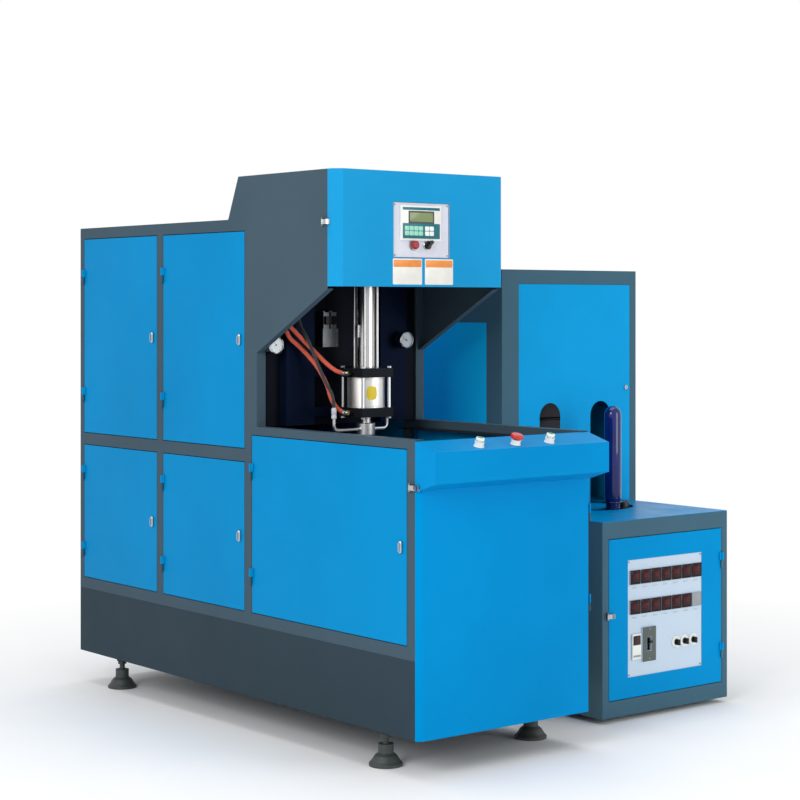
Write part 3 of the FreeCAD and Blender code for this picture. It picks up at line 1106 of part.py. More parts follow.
def bent_pipe(points, radius):
    """Round pipe along straight runs joined by the largest tangent arcs that its runs allow."""
    corners = [Vector(*p) for p in points]
    edges, start = [], corners[0]
    for before, corner, after in zip(corners, corners[1:], corners[2:]):
        back, ahead = before - corner, after - corner
        reach = 0.45 * min(back.Length, ahead.Length)
        back.normalize()
        ahead.normalize()
        enter, leave = corner + back * reach, corner + ahead * reach
        half_turn = (pi - back.getAngle(ahead)) / 2
        bend = reach / tan(half_turn)
        middle = corner + (back + ahead).normalize() * (bend / cos(half_turn) - bend)
        edges += [Part.LineSegment(start, enter).toShape(), Part.Arc(enter, middle, leave).toShape()]
        start = leave
    edges.append(Part.LineSegment(start, corners[-1]).toShape())
    path = Part.Wire(edges)
    first = corners[1] - corners[0]
    ring = Part.Wire(Part.Circle(corners[0], first, radius).toShape())
    return path.makePipeShell([ring], True, False)


def red_air_hoses():
    return group([bent_pipe(UPPER_HOSE, HOSE_RADIUS), bent_pipe(LOWER_HOSE, HOSE_RADIUS)])


def black_air_hose():
    ferrule = round_bar(BLACK_HOSE_RADIUS + 4.0, BLACK_HOSE[-1], FERRULE_FOOT)
    return group([bent_pipe(BLACK_HOSE, BLACK_HOSE_RADIUS), ferrule])


# ---- blower: mould clamp -------------------------------------------------------------------------
def tie_bar_places():
    reach = MOULD_WIDTH / 2 + TIE_BAR_IN
    return [(MID_X + side * reach, z) for side in (-1, 1)
            for z in (MOULD_LOW + TIE_BAR_Z_MARGIN, MOULD_TOP - TIE_BAR_Z_MARGIN)]


def clamp_plate(y, thickness):
    """Thick plate across the clamp, bored for the four tie bars."""
    half = MOULD_WIDTH / 2 + PLATEN_OVERHANG
    plate = box(MID_X - half, MID_X + half, y, y + thickness, PLATEN_LOW, PLATEN_TOP)
    bores = [round_bar(TIE_BAR_RADIUS + TIE_BAR_CLEARANCE, (x, y - 1.0, z), (x, y + thickness + 1.0, z))
             for x, z in tie_bar_places()]
    return plate.cut(group(bores))


def clamp_frame():
    rear = clamp_plate(REAR_END_Y, END_PLATE_THICK).cut(
        round_bar(CLAMP_ROD_RADIUS + PIN_FIT, (MID_X, REAR_END_Y - 1.0, CLAMP_Z),
                  (MID_X, REAR_END_Y + END_PLATE_THICK + 1.0, CLAMP_Z)))
    return group([clamp_plate(FRONT_END_Y, END_PLATE_THICK), rear])


def tie_bars():
    front, rear = FRONT_END_Y - TIE_BAR_PROUD, REAR_END_Y + END_PLATE_THICK + TIE_BAR_PROUD
    return group([round_bar(TIE_BAR_RADIUS, (x, front, z), (x, rear, z)) for x, z in tie_bar_places()])


def clamp_cylinder():
    start = REAR_END_Y + END_PLATE_THICK
    end = start + CLAMP_LENGTH
    joint = (MID_X, end - CLAMP_CAP, CLAMP_Z)
    barrel = tube(CLAMP_RADIUS, CLAMP_RADIUS - CLAMP_WALL, (MID_X, start, CLAMP_Z), joint)
    cap = round_bar(CLAMP_RADIUS + CLAMP_CAP_OVER, joint, (MID_X, end, CLAMP_Z))
    return group([barrel, cap])


def bottle_form():
    """The blown bottle's outside, standing neck up on the blow axis."""
    rib, corner = 7.0, BASE_INSERT
    outline = [(0, BOTTLE_LOW), (BOTTLE_RADIUS - corner, BOTTLE_LOW), (BOTTLE_RADIUS, BOTTLE_LOW + corner)]
    for k in (1, 2, 3):
        z = BOTTLE_LOW + k * BOTTLE_HEIGHT / 4
        outline += [(BOTTLE_RADIUS, z - 2 * rib), (BOTTLE_RADIUS - rib, z - rib),
                    (BOTTLE_RADIUS - rib, z + rib), (BOTTLE_RADIUS, z + 2 * rib)]
    outline += [(BOTTLE_RADIUS, BODY_TOP), (BOTTLE_RADIUS * 0.82, BODY_TOP + BOTTLE_SHOULDER * 0.45),
                (NECK_RADIUS, SHOULDER_TOP), (NECK_RADIUS, MOULD_TOP + 1.0), (0, MOULD_TOP + 1.0)]
    return revolve_z(outline, MID_X, STATION_Y)


def mould_half(y0, y1):
    """Base, body, shoulder and neck blocks of one half, each of two cheeks, stacked face to face."""
    form = bottle_form()
    levels = (MOULD_LOW, BOTTLE_LOW + BASE_INSERT, BODY_TOP, SHOULDER_TOP, MOULD_TOP)
    cheeks = ((MID_X - MOULD_WIDTH / 2, MID_X), (MID_X, MID_X + MOULD_WIDTH / 2))
    return group([box(x0, x1, y0, y1, low, high).cut(form)
                  for low, high in zip(levels, levels[1:]) for x0, x1 in cheeks])


def front_mould_half():
    face = STATION_Y - PART_GAP / 2
    return mould_half(face - MOULD_DEPTH, face)


def rear_mould_half():
    face = STATION_Y + PART_GAP / 2
    return mould_half(face, face + MOULD_DEPTH)


def front_platen():
    return clamp_plate(FRONT_PLATEN_Y, PLATEN_THICK)


def rear_platen():
    """Moving plate with the clamp cylinder's rod and piston."""
    back = REAR_PLATEN_Y + PLATEN_THICK
    piston = REAR_END_Y + END_PLATE_THICK + 40.0
    rod = round_bar(CLAMP_ROD_RADIUS, (MID_X, back, CLAMP_Z), (MID_X, piston, CLAMP_Z))
    head = round_bar(CLAMP_RADIUS - CLAMP_WALL - PART_GAP, (MID_X, piston, CLAMP_Z),
                     (MID_X, piston + CLAMP_CAP, CLAMP_Z))
    return fuse([clamp_plate(REAR_PLATEN_Y, PLATEN_THICK), rod, head])


def air_receiver():
    """Upright high-pressure bottle in the rear cabinet, on a ring foot."""
    x, y = MID_X, (Y_REAR + Y_REAR_POST) / 2
    low, high = Z_UPPER, Z_TOP_RAIL - RECEIVER_BELOW_RAIL
    r, crown, skirt_radius = RECEIVER_RADIUS, RECEIVER_RADIUS * CROWN_SHARE, RECEIVER_RADIUS * SKIRT_SHARE
    base, top = low + RECEIVER_LIFT, high - RECEIVER_VALVE_RISE
    shell = revolve_z([(0, base), (crown, base + CROWN_RISE), (r, base + END_HEIGHT), (r, top - END_HEIGHT),
                       (crown, top - CROWN_RISE), (0, top)], x, y)
    skirt = tube(skirt_radius, skirt_radius - SKIRT_WALL, (x, y, low), (x, y, base + SKIRT_OVERLAP))
    valve = round_bar(RECEIVER_VALVE_RADIUS, (x, y, top - CROWN_RISE - SKIRT_WALL), (x, y, high))
    shelf = box(TUBE_DEPTH, BLOWER_WIDTH - TUBE_DEPTH, Y_REAR, Y_REAR_POST, low - SHEET, low)
    return group([fuse([shell, skirt, valve]), shelf])


# ---- heater: control box, table and tower --------------------------------------------------------
def box_fixed_leaf(z0, z1):
    return box(BOX_PIN[0] + 1.0, BOX_PIN[0] + 12.0, BOX_PIN[1], BOX_Y, z0, z1)


def box_moving_leaf(z0, z1):
    return box(BOX_PIN[0] - LEAF_WIDTH, BOX_PIN[0] - LEAF_GAP, BOX_PIN[1], BOX_Y, z0, z1).fuse(
        box(BOX_PIN[0] - LEAF_WIDTH, BOX_PIN[0], BOX_PIN[1], BOX_PIN[1] + LEAF_THICK, z0, z1))


def facing_front(shape, x, y, z):
    """Turns a piece made for the left side (outward -X, free end -Y) to face -Y with its free end at +X."""
    turned = shape.copy()
    turned.rotate(Vector(0, 0, 0), Vector(0, 0, 1), 90)
    turned.translate(Vector(x, y, z))
    return turned


def oven_base():
    """Control box frame and skins, its pads, and the beam that carries the turntable's bearing."""
    d, t = TUBE_DEPTH, SHEET
    low, high = OVEN_LIFT, TABLE_TOP - SHEET
    bars = [hollow_bar(BOX_X, BOX_DOOR_X0, BOX_Y, BOX_Y + d, low, high, "z"),
            hollow_bar(BOX_DOOR_X1, BOX_RIGHT, BOX_Y, BOX_Y + d, low, high, "z"),
            hollow_bar(BOX_DOOR_X0, BOX_DOOR_X1, BOX_Y, BOX_Y + d, low, BOX_DOOR_LOW, "x"),
            hollow_bar(BOX_DOOR_X0, BOX_DOOR_X1, BOX_Y, BOX_Y + d, BOX_DOOR_HIGH, high, "x")]
    skins = [box(BOX_X, BOX_X + t, BOX_Y + d, TOWER_Y, low, high),
             box(BOX_RIGHT - t, BOX_RIGHT, BOX_Y + d, TOWER_Y, low, high),
             box(BOX_X + t, BOX_RIGHT - t, BOX_Y + d, TOWER_Y, low, low + t)]
    beam_y = BEAM_WIDTH / 4
    beam_top = DISC_TOP - DISC_THICK - SHAFT_LENGTH - SHAFT_END_GAP
    beam = hollow_bar(BOX_X + t, BOX_RIGHT - t, TURN_Y - beam_y, TURN_Y + beam_y,
                      beam_top - BEARING_BEAM, beam_top, "x")
    bearing = tube(BEARING_RADIUS, SHAFT_RADIUS + PIN_FIT, (TURN_X, TURN_Y, beam_top),
                   (TURN_X, TURN_Y, beam_top + BEARING_LENGTH))
    pad_y = BOX_Y + PAD_INSET
    pads = [round_bar(PAD_RADIUS, (x, pad_y, 0), (x, pad_y, OVEN_LIFT))
            for x in (BOX_X + PAD_INSET, BOX_RIGHT - PAD_INSET)]
    hinges = [fixed_hinge_side(*BOX_PIN, z, box_fixed_leaf)
              for z in hinge_heights(BOX_DOOR_LOW, BOX_DOOR_HIGH)]
    half = TOGGLE_SETBACK / 2
    toggle = facing_front(toggle_base(0, -half, half, 0, 0), BOX_TOGGLE_X, BOX_Y, BOX_TOGGLE_Z)
    return group(bars + skins + [beam, bearing] + pads + hinges + [toggle])


def oven_table():
    """Blue table top with the round opening that the mandrels travel in."""
    low = TABLE_TOP - SHEET
    front = box(BOX_X, BOX_RIGHT, BOX_Y, TOWER_Y, low, TABLE_TOP)
    rear = box(TOWER_DOOR_X, TOWER_DOOR_X + TOWER_DOOR_WIDTH, TOWER_Y, TABLE_BACK, low, TABLE_TOP)
    hole = round_bar(SLOT_OUTER, (TURN_X, TURN_Y, low - 1.0), (TURN_X, TURN_Y, TABLE_TOP + 1.0))
    return fuse([front, rear]).cut(hole)


def oven_tower():
    """Tall oven frame: posts, rails, side bands, roof and feet."""
    x0, x1, y0, y1 = TOWER_X, TOWER_RIGHT, TOWER_Y, TOWER_BACK
    d = TUBE_DEPTH
    low, high = OVEN_LIFT, TOWER_TOP
    door_x1 = TOWER_DOOR_X + TOWER_DOOR_WIDTH
    post_back = y0 + TOWER_POST_DEPTH
    bars = [hollow_bar(x0, TOWER_DOOR_X, y0, post_back, low, high, "z"),
            hollow_bar(door_x1, x1, y0, post_back, low, high, "z"),
            hollow_bar(x0, x0 + d, y1 - d, y1, low, high, "z"),
            hollow_bar(x1 - TOWER_RIGHT_POST, x1, y1 - d, y1, low, high, "z"),
            hollow_bar(TOWER_DOOR_X, door_x1, y0, y0 + d, high - TOWER_TOP_RAIL, high, "x"),
            hollow_bar(x0 + d, x1 - TOWER_RIGHT_POST, y1 - d, y1, high - TOWER_TOP_RAIL, high, "x"),
            hollow_bar(x0 + d, x1 - TOWER_RIGHT_POST, y1 - d, y1, low, low + TOWER_TOP_RAIL, "x")]
    for xa, xb in ((x0, x0 + d / 2), (x1 - d / 2, x1)):
        bars.append(hollow_bar(xa, xb, post_back, y1 - d, high - TOWER_BAND, high, "y"))
        bars.append(hollow_bar(xa, xb, post_back, y1 - d, low, low + TOWER_TOP_RAIL, "y"))
    roof = box(x0, x1, y0, y1, high, high + SHEET)
    pads = [round_bar(PAD_RADIUS, (x, y, 0), (x, y, OVEN_LIFT))
            for x in (x0 + d / 2, x1 - TOWER_RIGHT_POST / 2) for y in (y0 + TOWER_POST_DEPTH / 2, y1 - d / 2)]
    return group(bars + [roof] + pads)


def arch(x, y0, y1):
    """Bullet-shaped opening that a preform passes through."""
    spring = ARCH_TOP - ARCH_HALF_WIDTH
    straight = box(x - ARCH_HALF_WIDTH, x + ARCH_HALF_WIDTH, y0, y1, TABLE_TOP - 1.0, spring)
    return straight.fuse(round_bar(ARCH_HALF_WIDTH, (x, y0, spring), (x, y1, spring))).removeSplitter()


def arch_places():
    reach = sqrt(TURN_RADIUS ** 2 - TURN_BEHIND_DOOR ** 2)
    return (TURN_X - reach, TURN_X + reach)


def oven_panels():
    """Lift-off front panel with two arches, and the plain side and back panels."""
    x0, x1 = TOWER_DOOR_X, TOWER_DOOR_X + TOWER_DOOR_WIDTH
    front = pan_y(TOWER_Y, DOOR_FOLD, x0 + 1.0, x1 - 1.0, TABLE_TOP, TOWER_TOP - TOWER_TOP_RAIL - 1.0)
    for x in arch_places():
        front = front.cut(arch(x, TOWER_Y - 1.0, TOWER_Y + DOOR_FOLD + 1.0))
    front = front.cut(round_bar(LOCK_RADIUS + LOCK_FIT, (LOCK_X, TOWER_Y - 1.0, LOCK_Z),
                                (LOCK_X, TOWER_Y + SHEET + 1.0, LOCK_Z)))
    post_back = TOWER_Y + TOWER_POST_DEPTH
    rear = TOWER_BACK - TUBE_DEPTH
    low, high = OVEN_LIFT + TOWER_TOP_RAIL, TOWER_TOP - TOWER_BAND
    left = pan_x(TOWER_X, TUBE_DEPTH / 2, post_back, rear, low, high)
    right = mirror_x(left, (TOWER_X + TOWER_RIGHT) / 2)
    back = pan_y(0, DOOR_FOLD, TOWER_X + TUBE_DEPTH, TOWER_RIGHT - TOWER_RIGHT_POST, low,
                 TOWER_TOP - TOWER_TOP_RAIL)
    back = back.mirror(Vector(0, 0, 0), Vector(0, 1, 0)).translated(Vector(0, TOWER_BACK, 0))
    return group([front, left, right, back])


def oven_lock():
    """Key lock of the oven's front panel, with its cam behind the sheet."""
    face, cam_y = TOWER_Y - LOCK_PROUD, TOWER_Y + DOOR_FOLD + LOCK_CAM_BEHIND
    barrel = round_bar(LOCK_RADIUS, (LOCK_X, face, LOCK_Z), (LOCK_X, cam_y + LOCK_CAM_THICK + 1.0, LOCK_Z))
    slot = box(LOCK_X - KEY_SLOT / 2, LOCK_X + KEY_SLOT / 2, face - 1.0, face + KEY_SLOT_DEPTH,
               LOCK_Z - KEY_SLOT_HALF, LOCK_Z + KEY_SLOT_HALF)
    cam = box(LOCK_X - LOCK_CAM_HALF, LOCK_X + LOCK_CAM_HALF, cam_y, cam_y + LOCK_CAM_THICK,
              LOCK_Z - LOCK_CAM_HALF - 1.0, LOCK_Z + LOCK_CAM_REACH)
    return fuse([barrel, cam]).cut(slot)


def box_door():
    panel = pan_y(BOX_Y, DOOR_FOLD, BOX_DOOR_X0 + DOOR_GAP, BOX_DOOR_X1 - DOOR_GAP,
                  BOX_DOOR_LOW + DOOR_GAP, BOX_DOOR_HIGH - DOOR_GAP)
    window = box(METER_X, METER_X + METER_WIDTH, BOX_Y - 1.0, BOX_Y + SHEET + 1.0,
                 METER_LOW, METER_LOW + METER_HEIGHT)
    sleeves = [moving_knuckle(*BOX_PIN, z, box_moving_leaf)
               for z in hinge_heights(BOX_DOOR_LOW, BOX_DOOR_HIGH)]
    strike = facing_front(toggle_strike(0, -(BOX_DOOR_X0 + 16.0 - BOX_TOGGLE_X) - 10.0, 0),
                          BOX_TOGGLE_X, BOX_Y, BOX_TOGGLE_Z)
    return group([panel.cut(window)] + sleeves + [strike])


# ---- heater: meter panel -------------------------------------------------------------------------
def meter_panel():
    """Pale panel behind the door's window, with its temperature modules, thermostat and breaker body."""
    margin, y = METER_MARGIN, METER_FACE
    x0, x1 = METER_X - margin, METER_X + METER_WIDTH + margin
    z0, z1 = METER_LOW - margin, METER_LOW + METER_HEIGHT + margin
    plate = box(x0, x1, y, y + SHEET, z0, z1)
    spacer = box(x0, x1, BOX_Y + SHEET, y, z0, z1).cut(
        box(METER_X, METER_X + METER_WIDTH, BOX_Y, y, METER_LOW, METER_LOW + METER_HEIGHT))
    plate = plate.cut(breaker_slot(y - 1.0, y + SHEET + 1.0))
    for x in KNOB_X:
        plate = plate.cut(round_bar(KNOB_SHAFT + 1.0, (x, y - 1.0, KNOB_Z), (x, y + SHEET + 1.0, KNOB_Z)))
    thermostat = box(METER_X + THERMOSTAT_INSET, METER_X + THERMOSTAT_INSET + THERMOSTAT_WIDTH, y - 6.0, y,
                     METER_LOW + THERMOSTAT_RISE, METER_LOW + THERMOSTAT_RISE + THERMOSTAT_HEIGHT)
    breaker = box(BREAKER_X - BREAKER_HALF, BREAKER_X + BREAKER_HALF, y - 8.0, y,
                  BREAKER_Z - BREAKER_BODY, BREAKER_Z + BREAKER_BODY).cut(breaker_slot(y - 9.0, y + 1.0))
    rings = [tube(KNOB_RADIUS + 6.0, KNOB_RADIUS + 2.0, (x, y - 4.0, KNOB_Z), (x, y, KNOB_Z)) for x in KNOB_X]
    return group([fuse([plate, spacer])] + meter_modules() + [thermostat, breaker] + rings)


def meter_modules():
    """Framed windows of the temperature modules, and the long housings behind each row of them."""
    pieces, y = [], METER_FACE
    for row in METER_ROWS:
        for k in range(METER_COUNT):
            x = METER_LEFT + k * METER_PITCH
            shell = box(x, x + METER_MODULE, y - MODULE_PROUD, y, row, row + METER_MODULE)
            window = box(x + 4.0, x + METER_MODULE - 4.0, y - MODULE_PROUD - 1.0, y - MODULE_PROUD + 2.0,
                         row + 14.0, row + METER_MODULE - 6.0)
            pieces.append(shell.cut(window))
        pieces.append(box(METER_LEFT + 4.0, METER_LEFT + METER_COUNT * METER_PITCH - 8.0, y + SHEET,
                          y + MODULE_DEPTH, row + 5.0, row + METER_MODULE - 5.0))
    return pieces


def breaker_slot(y0, y1):
    return box(BREAKER_X - BREAKER_SLOT, BREAKER_X + BREAKER_SLOT, y0, y1,
               BREAKER_Z - BREAKER_SLOT_HALF, BREAKER_Z + BREAKER_SLOT_HALF)


def breaker_lever():
    """Toggle of the breaker: a cross pin and a finger standing out of the slot."""
    y = METER_FACE + 4.0
    pin = round_bar(4.0, (BREAKER_X - BREAKER_SLOT + PART_GAP, y, BREAKER_Z),
                    (BREAKER_X + BREAKER_SLOT - PART_GAP, y, BREAKER_Z))
    finger = box(BREAKER_X - 7.0, BREAKER_X + 7.0, y - 26.0, y, BREAKER_Z - 4.0, BREAKER_Z + 4.0)
    finger.rotate(Vector(BREAKER_X, y, BREAKER_Z), Vector(1, 0, 0), -BREAKER_TILT)
    return fuse([pin, finger])


def control_knob(x):
    y, r = METER_FACE, KNOB_RADIUS
    skirt = round_bar(r, (x, y - 9.0, KNOB_Z), (x, y - PART_GAP, KNOB_Z))
    grip = box(x - 4.0, x + 4.0, y - KNOB_GRIP, y - 8.0, KNOB_Z - r, KNOB_Z + r)
    shaft = round_bar(KNOB_SHAFT, (x, y - 9.0, KNOB_Z), (x, y + 18.0, KNOB_Z))
    return fuse([skirt, grip, shaft])


# ---- heater: turntable, preform and lamps --------------------------------------------------------
def turn_bar(radius, z0, z1, dx=0.0, dy=0.0):
    return round_bar(radius, (TURN_X + dx, TURN_Y + dy, z0), (TURN_X + dx, TURN_Y + dy, z1))


def turntable():
    """Disc on its shaft, with the round island that fills the middle of the table opening."""
    disc_low = DISC_TOP - DISC_THICK
    disc = turn_bar(TURN_RADIUS + DISC_RIM, disc_low, DISC_TOP)
    shaft = turn_bar(SHAFT_RADIUS, disc_low - SHAFT_LENGTH, disc_low)
    collar = turn_bar(SHAFT_RADIUS + SHAFT_COLLAR, disc_low - COLLAR_DROP, disc_low)
    column = turn_bar(COLUMN_RADIUS, DISC_TOP, TABLE_TOP - 5.0)
    island = turn_bar(ISLAND_RADIUS, TABLE_TOP - 5.0, TABLE_TOP)
    return fuse([disc, shaft, collar, column, island])


def mandrel_places():
    """Mandrel centres from the turntable axis, the first one nearest the operator."""
    return [(TURN_RADIUS * sin(2 * pi * k / MANDREL_COUNT), -TURN_RADIUS * cos(2 * pi * k / MANDREL_COUNT))
            for k in range(MANDREL_COUNT)]


def mandrels():
    """Spigots on the turntable that hold the preforms by their necks."""
    spigot = PREFORM_NECK_RADIUS - PREFORM_WALL - SPIGOT_FIT
    shoulder, top = PREFORM_FOOT + SPIGOT_HEIGHT, PREFORM_FOOT + SPIGOT_HEIGHT + SPIGOT_NOSE
    outline = [(0, DISC_TOP), (MANDREL_RADIUS, DISC_TOP), (MANDREL_RADIUS, PREFORM_FOOT),
               (spigot, PREFORM_FOOT), (spigot, shoulder), (spigot - SPIGOT_TAPER, top), (0, top)]
    return group([revolve_z(outline, TURN_X + dx, TURN_Y + dy) for dx, dy in mandrel_places()])


def dome_points(radius, base):
    """Quarter round from the wall at the base up to the axis."""
    return [(radius * cos(k * pi / 2 / DOME_STEPS), base + radius * sin(k * pi / 2 / DOME_STEPS))
            for k in range(DOME_STEPS)] + [(0, base + radius)]


def preform():
    """Bottle preform standing neck down: neck with its bead, support ring, body and round end."""
    neck, body, wall, bead = PREFORM_NECK_RADIUS, PREFORM_RADIUS, PREFORM_WALL, NECK_BEAD
    foot, ring = PREFORM_FOOT, PREFORM_FOOT + NECK_HEIGHT
    low, high = foot + BEAD_RISE, foot + BEAD_RISE + BEAD_HEIGHT
    outer = [(neck, foot), (neck, low), (neck + bead, low + 1.0), (neck + bead, high - 1.0), (neck, high),
             (neck, ring), (body + RING_PROUD, ring), (body + RING_PROUD, ring + RING_THICK),
             (neck + 1.0, ring + RING_THICK + 1.0), (body, ring + NECK_TAPER)]
    inner = [(neck - wall, foot), (neck - wall, ring + RING_THICK + 1.0),
             (body - wall, ring + NECK_TAPER + 2.0)]
    dome = PREFORM_TOP - body
    profile = outer + dome_points(body, dome) + (inner + dome_points(body - wall, dome))[::-1]
    dx, dy = mandrel_places()[0]
    return revolve_z(profile, TURN_X + dx, TURN_Y + dy)


def lamp_bank():
    """Reflector standing on the table in the tower, with a row of tube lamps in front of it."""
    y = TURN_Y + SLOT_OUTER + LAMP_BEHIND
    back = y + REFLECTOR_DEPTH
    half = TURN_RADIUS + LAMP_BESIDE
    top = PREFORM_TOP + LAMP_OVER
    plate = box(TURN_X - half, TURN_X + half, back, back + SHEET, TABLE_TOP, top)
    post = REFLECTOR_POST
    sides = [box(TURN_X + s * half - post, TURN_X + s * half + post, y, back, TABLE_TOP, top)
             for s in (-1, 1)]
    pitch = (top - TABLE_TOP - 2 * LAMP_MARGIN) / (LAMP_COUNT - 1)
    lamps = []
    for k in range(LAMP_COUNT):
        z = TABLE_TOP + LAMP_MARGIN + k * pitch
        lamps.append(round_bar(LAMP_RADIUS, (TURN_X - half + post, (y + back) / 2, z),
                               (TURN_X + half - post, (y + back) / 2, z)))
    return group([plate] + sides + lamps)


# ---- the whole machine ---------------------------------------------------------------------------
def build_nodes():
    nodes = {
        "base_plinth": base_plinth(), "cabinet_frame": cabinet_frame(), "fixed_panels": fixed_panels(),
        "cabinet_covers": cabinet_covers(), "inner_plates": inner_plates(),
        "levelling_feet": levelling_feet(),
        "air_receiver": air_receiver(), "clamp_frame": clamp_frame(), "tie_bars": tie_bars(),
        "clamp_cylinder": clamp_cylinder(), "stretch_cylinder": stretch_cylinder(),
        "seal_cylinder": seal_cylinder(), "station_bracket": station_bracket(),
        "pressure_gauges": pressure_gauges(), "air_valve_unit": air_valve_unit(),
        "red_air_hoses": red_air_hoses(), "black_air_hose": black_air_hose(),
        "hood_front_door": hood_front_door(), "control_plate": control_plate(), "keypad_unit": keypad_unit(),
        "hood_stop_button": hood_stop_button(), "hood_selector": hood_selector(),
        "hood_toggle_latch": toggle_latch(0, HOOD_TOGGLE_Y, HOOD_TOGGLE_Z),
        "front_panel": front_panel(),
        "start_button_left": press_button(START_LEFT_X, BUTTON_RADIUS, 9.0),
        "start_button_right": press_button(START_RIGHT_X, BUTTON_RADIUS, 9.0),
        "emergency_button": press_button(EMERGENCY_X, MUSHROOM_RADIUS, 14.0),
        "front_toggle_latch": toggle_latch(0, FRONT_TOGGLE_Y, FRONT_TOGGLE_Z),
        "front_platen": front_platen(), "rear_platen": rear_platen(),
        "front_mould_half": front_mould_half(), "rear_mould_half": rear_mould_half(),
        "stretch_rod": stretch_rod(), "blow_nozzle": blow_nozzle(),
        "oven_base": oven_base(), "oven_table": oven_table(), "oven_tower": oven_tower(),
        "oven_panels": oven_panels(), "oven_lock": oven_lock(), "box_door": box_door(),
        "box_toggle_latch": facing_front(toggle_latch(0, 0, 0), BOX_TOGGLE_X, BOX_Y, BOX_TOGGLE_Z),
        "meter_panel": meter_panel(), "breaker_lever": breaker_lever(),
        "turntable": turntable(), "mandrels": mandrels(), "preform": preform(), "lamp_bank": lamp_bank(),
    }
    for name in SIDE_DOORS:
        nodes[name] = side_door(name)
        nodes[name.replace("door", "latch")] = side_latch(name)
    for number, x in enumerate(KNOB_X, start=1):
        nodes["control_knob_%d" % number] = control_knob(x)
    return nodes


def footprint_shift(nodes):
    """Move that brings the middle of the footprint to the origin."""
    whole = group(list(nodes.values())).optimalBoundingBox(False)
    return Vector(-(whole.XMin + whole.XMax) / 2, -(whole.YMin + whole.YMax) / 2, -whole.ZMin)


def main():
    os.makedirs("parts", exist_ok=True)
    nodes = build_nodes()
    shift = footprint_shift(nodes)
    for name, shape in nodes.items():
        shape.translated(shift).exportStep("parts/%s.step" % name)
    print("nodes", len(nodes), "shift", tuple(round(v, 3) for v in shift))


if __name__ == "__main__":
    main()
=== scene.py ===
import math

import bmesh
import bpy
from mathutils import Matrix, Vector


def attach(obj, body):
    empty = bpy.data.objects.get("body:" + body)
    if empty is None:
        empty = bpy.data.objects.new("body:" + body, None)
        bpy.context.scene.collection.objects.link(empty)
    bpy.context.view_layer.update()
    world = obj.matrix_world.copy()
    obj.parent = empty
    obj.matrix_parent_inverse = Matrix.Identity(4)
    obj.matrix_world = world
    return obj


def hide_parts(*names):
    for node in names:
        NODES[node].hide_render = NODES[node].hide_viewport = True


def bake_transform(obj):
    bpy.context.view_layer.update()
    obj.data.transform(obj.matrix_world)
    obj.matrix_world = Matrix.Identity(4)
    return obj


# Looks of the stretch blow moulding machine and its preform heater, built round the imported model.
# Places and sizes are written in millimetres, places from the blower's front left corner on the floor, as
# in the part's source. spot() brings them to the model's own frame in metres. A box is (x0, x1, z0, z1) on
# a face that looks at the operator.

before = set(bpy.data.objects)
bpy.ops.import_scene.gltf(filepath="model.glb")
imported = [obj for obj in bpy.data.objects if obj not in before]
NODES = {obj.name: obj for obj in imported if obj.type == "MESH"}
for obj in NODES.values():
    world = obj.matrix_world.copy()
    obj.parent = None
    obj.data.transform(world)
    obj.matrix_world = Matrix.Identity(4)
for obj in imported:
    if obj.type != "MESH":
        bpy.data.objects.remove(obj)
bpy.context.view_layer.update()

# ---- places taken over from the part ---------------------------------
CORNER = Vector((-0.906, -1.0675, 0.0))  # that corner in the model's frame, in metres
MID_X = 400.0  # the blower's middle plane

HOOD_FACE = 445.6  # hood door's front face
PLATE_FACE = 450.6  # control plate, sunk in the hood door
KEYPAD_FACE = 444.6  # keypad unit's front face
PLATE_BOX = (257.0, 520.0, 1750.0, 1949.0)
KEYPAD_BOX = (291.0, 479.0, 1812.0, 1938.0)
BEZEL_BOX = (325.0, 445.0, 1874.0, 1919.0)  # frame of the keypad unit's display
KEY_WIDE, KEY_HIGH = 19.5, 16.0
KEY_PITCH, KEY_ROW_PITCH = 21.5, 18.0
KEY_FIRST = (308.0, 1829.9)  # lower left corner of the first key
KEY_COLUMNS, MINT_COLUMNS, KEY_GAP = 6, 4, 8.0
FIELD_SPANS = ((254.0, 389.0), (403.0, 536.0))  # two bare plates under the control plate
FIELD_LOW, FIELD_HIGH = 1653.0, 1746.0
HEAD_LOW, HEAD_HIGH = 1716.0, 1742.0  # coloured head of such a plate
STOP_AT, SELECTOR_AT = (353.0, 1796.0), (418.0, 1796.0)

NOSE_BACK, NOSE_FRONT = 11.6, -95.0
NOSE_TOP, NOSE_EDGE_TOP = 1126.0, 1095.0
NOSE_SLOPE = math.atan2(NOSE_TOP - NOSE_EDGE_TOP, NOSE_BACK - NOSE_FRONT)
COLLAR_HEIGHT = 17.0
BUTTON_SEAT = 0.3  # share of the way from the nose's edge to its back
BUTTONS = {"left": 216.0, "middle": 382.0, "right": 540.0}
BUTTON_TRAVEL, BUTTON_HEIGHT = 6.0, 9.0

STATION_Y = 790.0
LOWER_PLATE = 1161.0  # underside of the station's lower plate
PLATE_THICK = 34.0
BARREL_LOW, BARREL_HIGH = 1195.0, 1309.0
BARREL_LONG = BARREL_HIGH - BARREL_LOW
BARREL_RADIUS = 69.0
CORNER_ROD_PITCH, CORNER_ROD_RADIUS = 62.0, 6.0

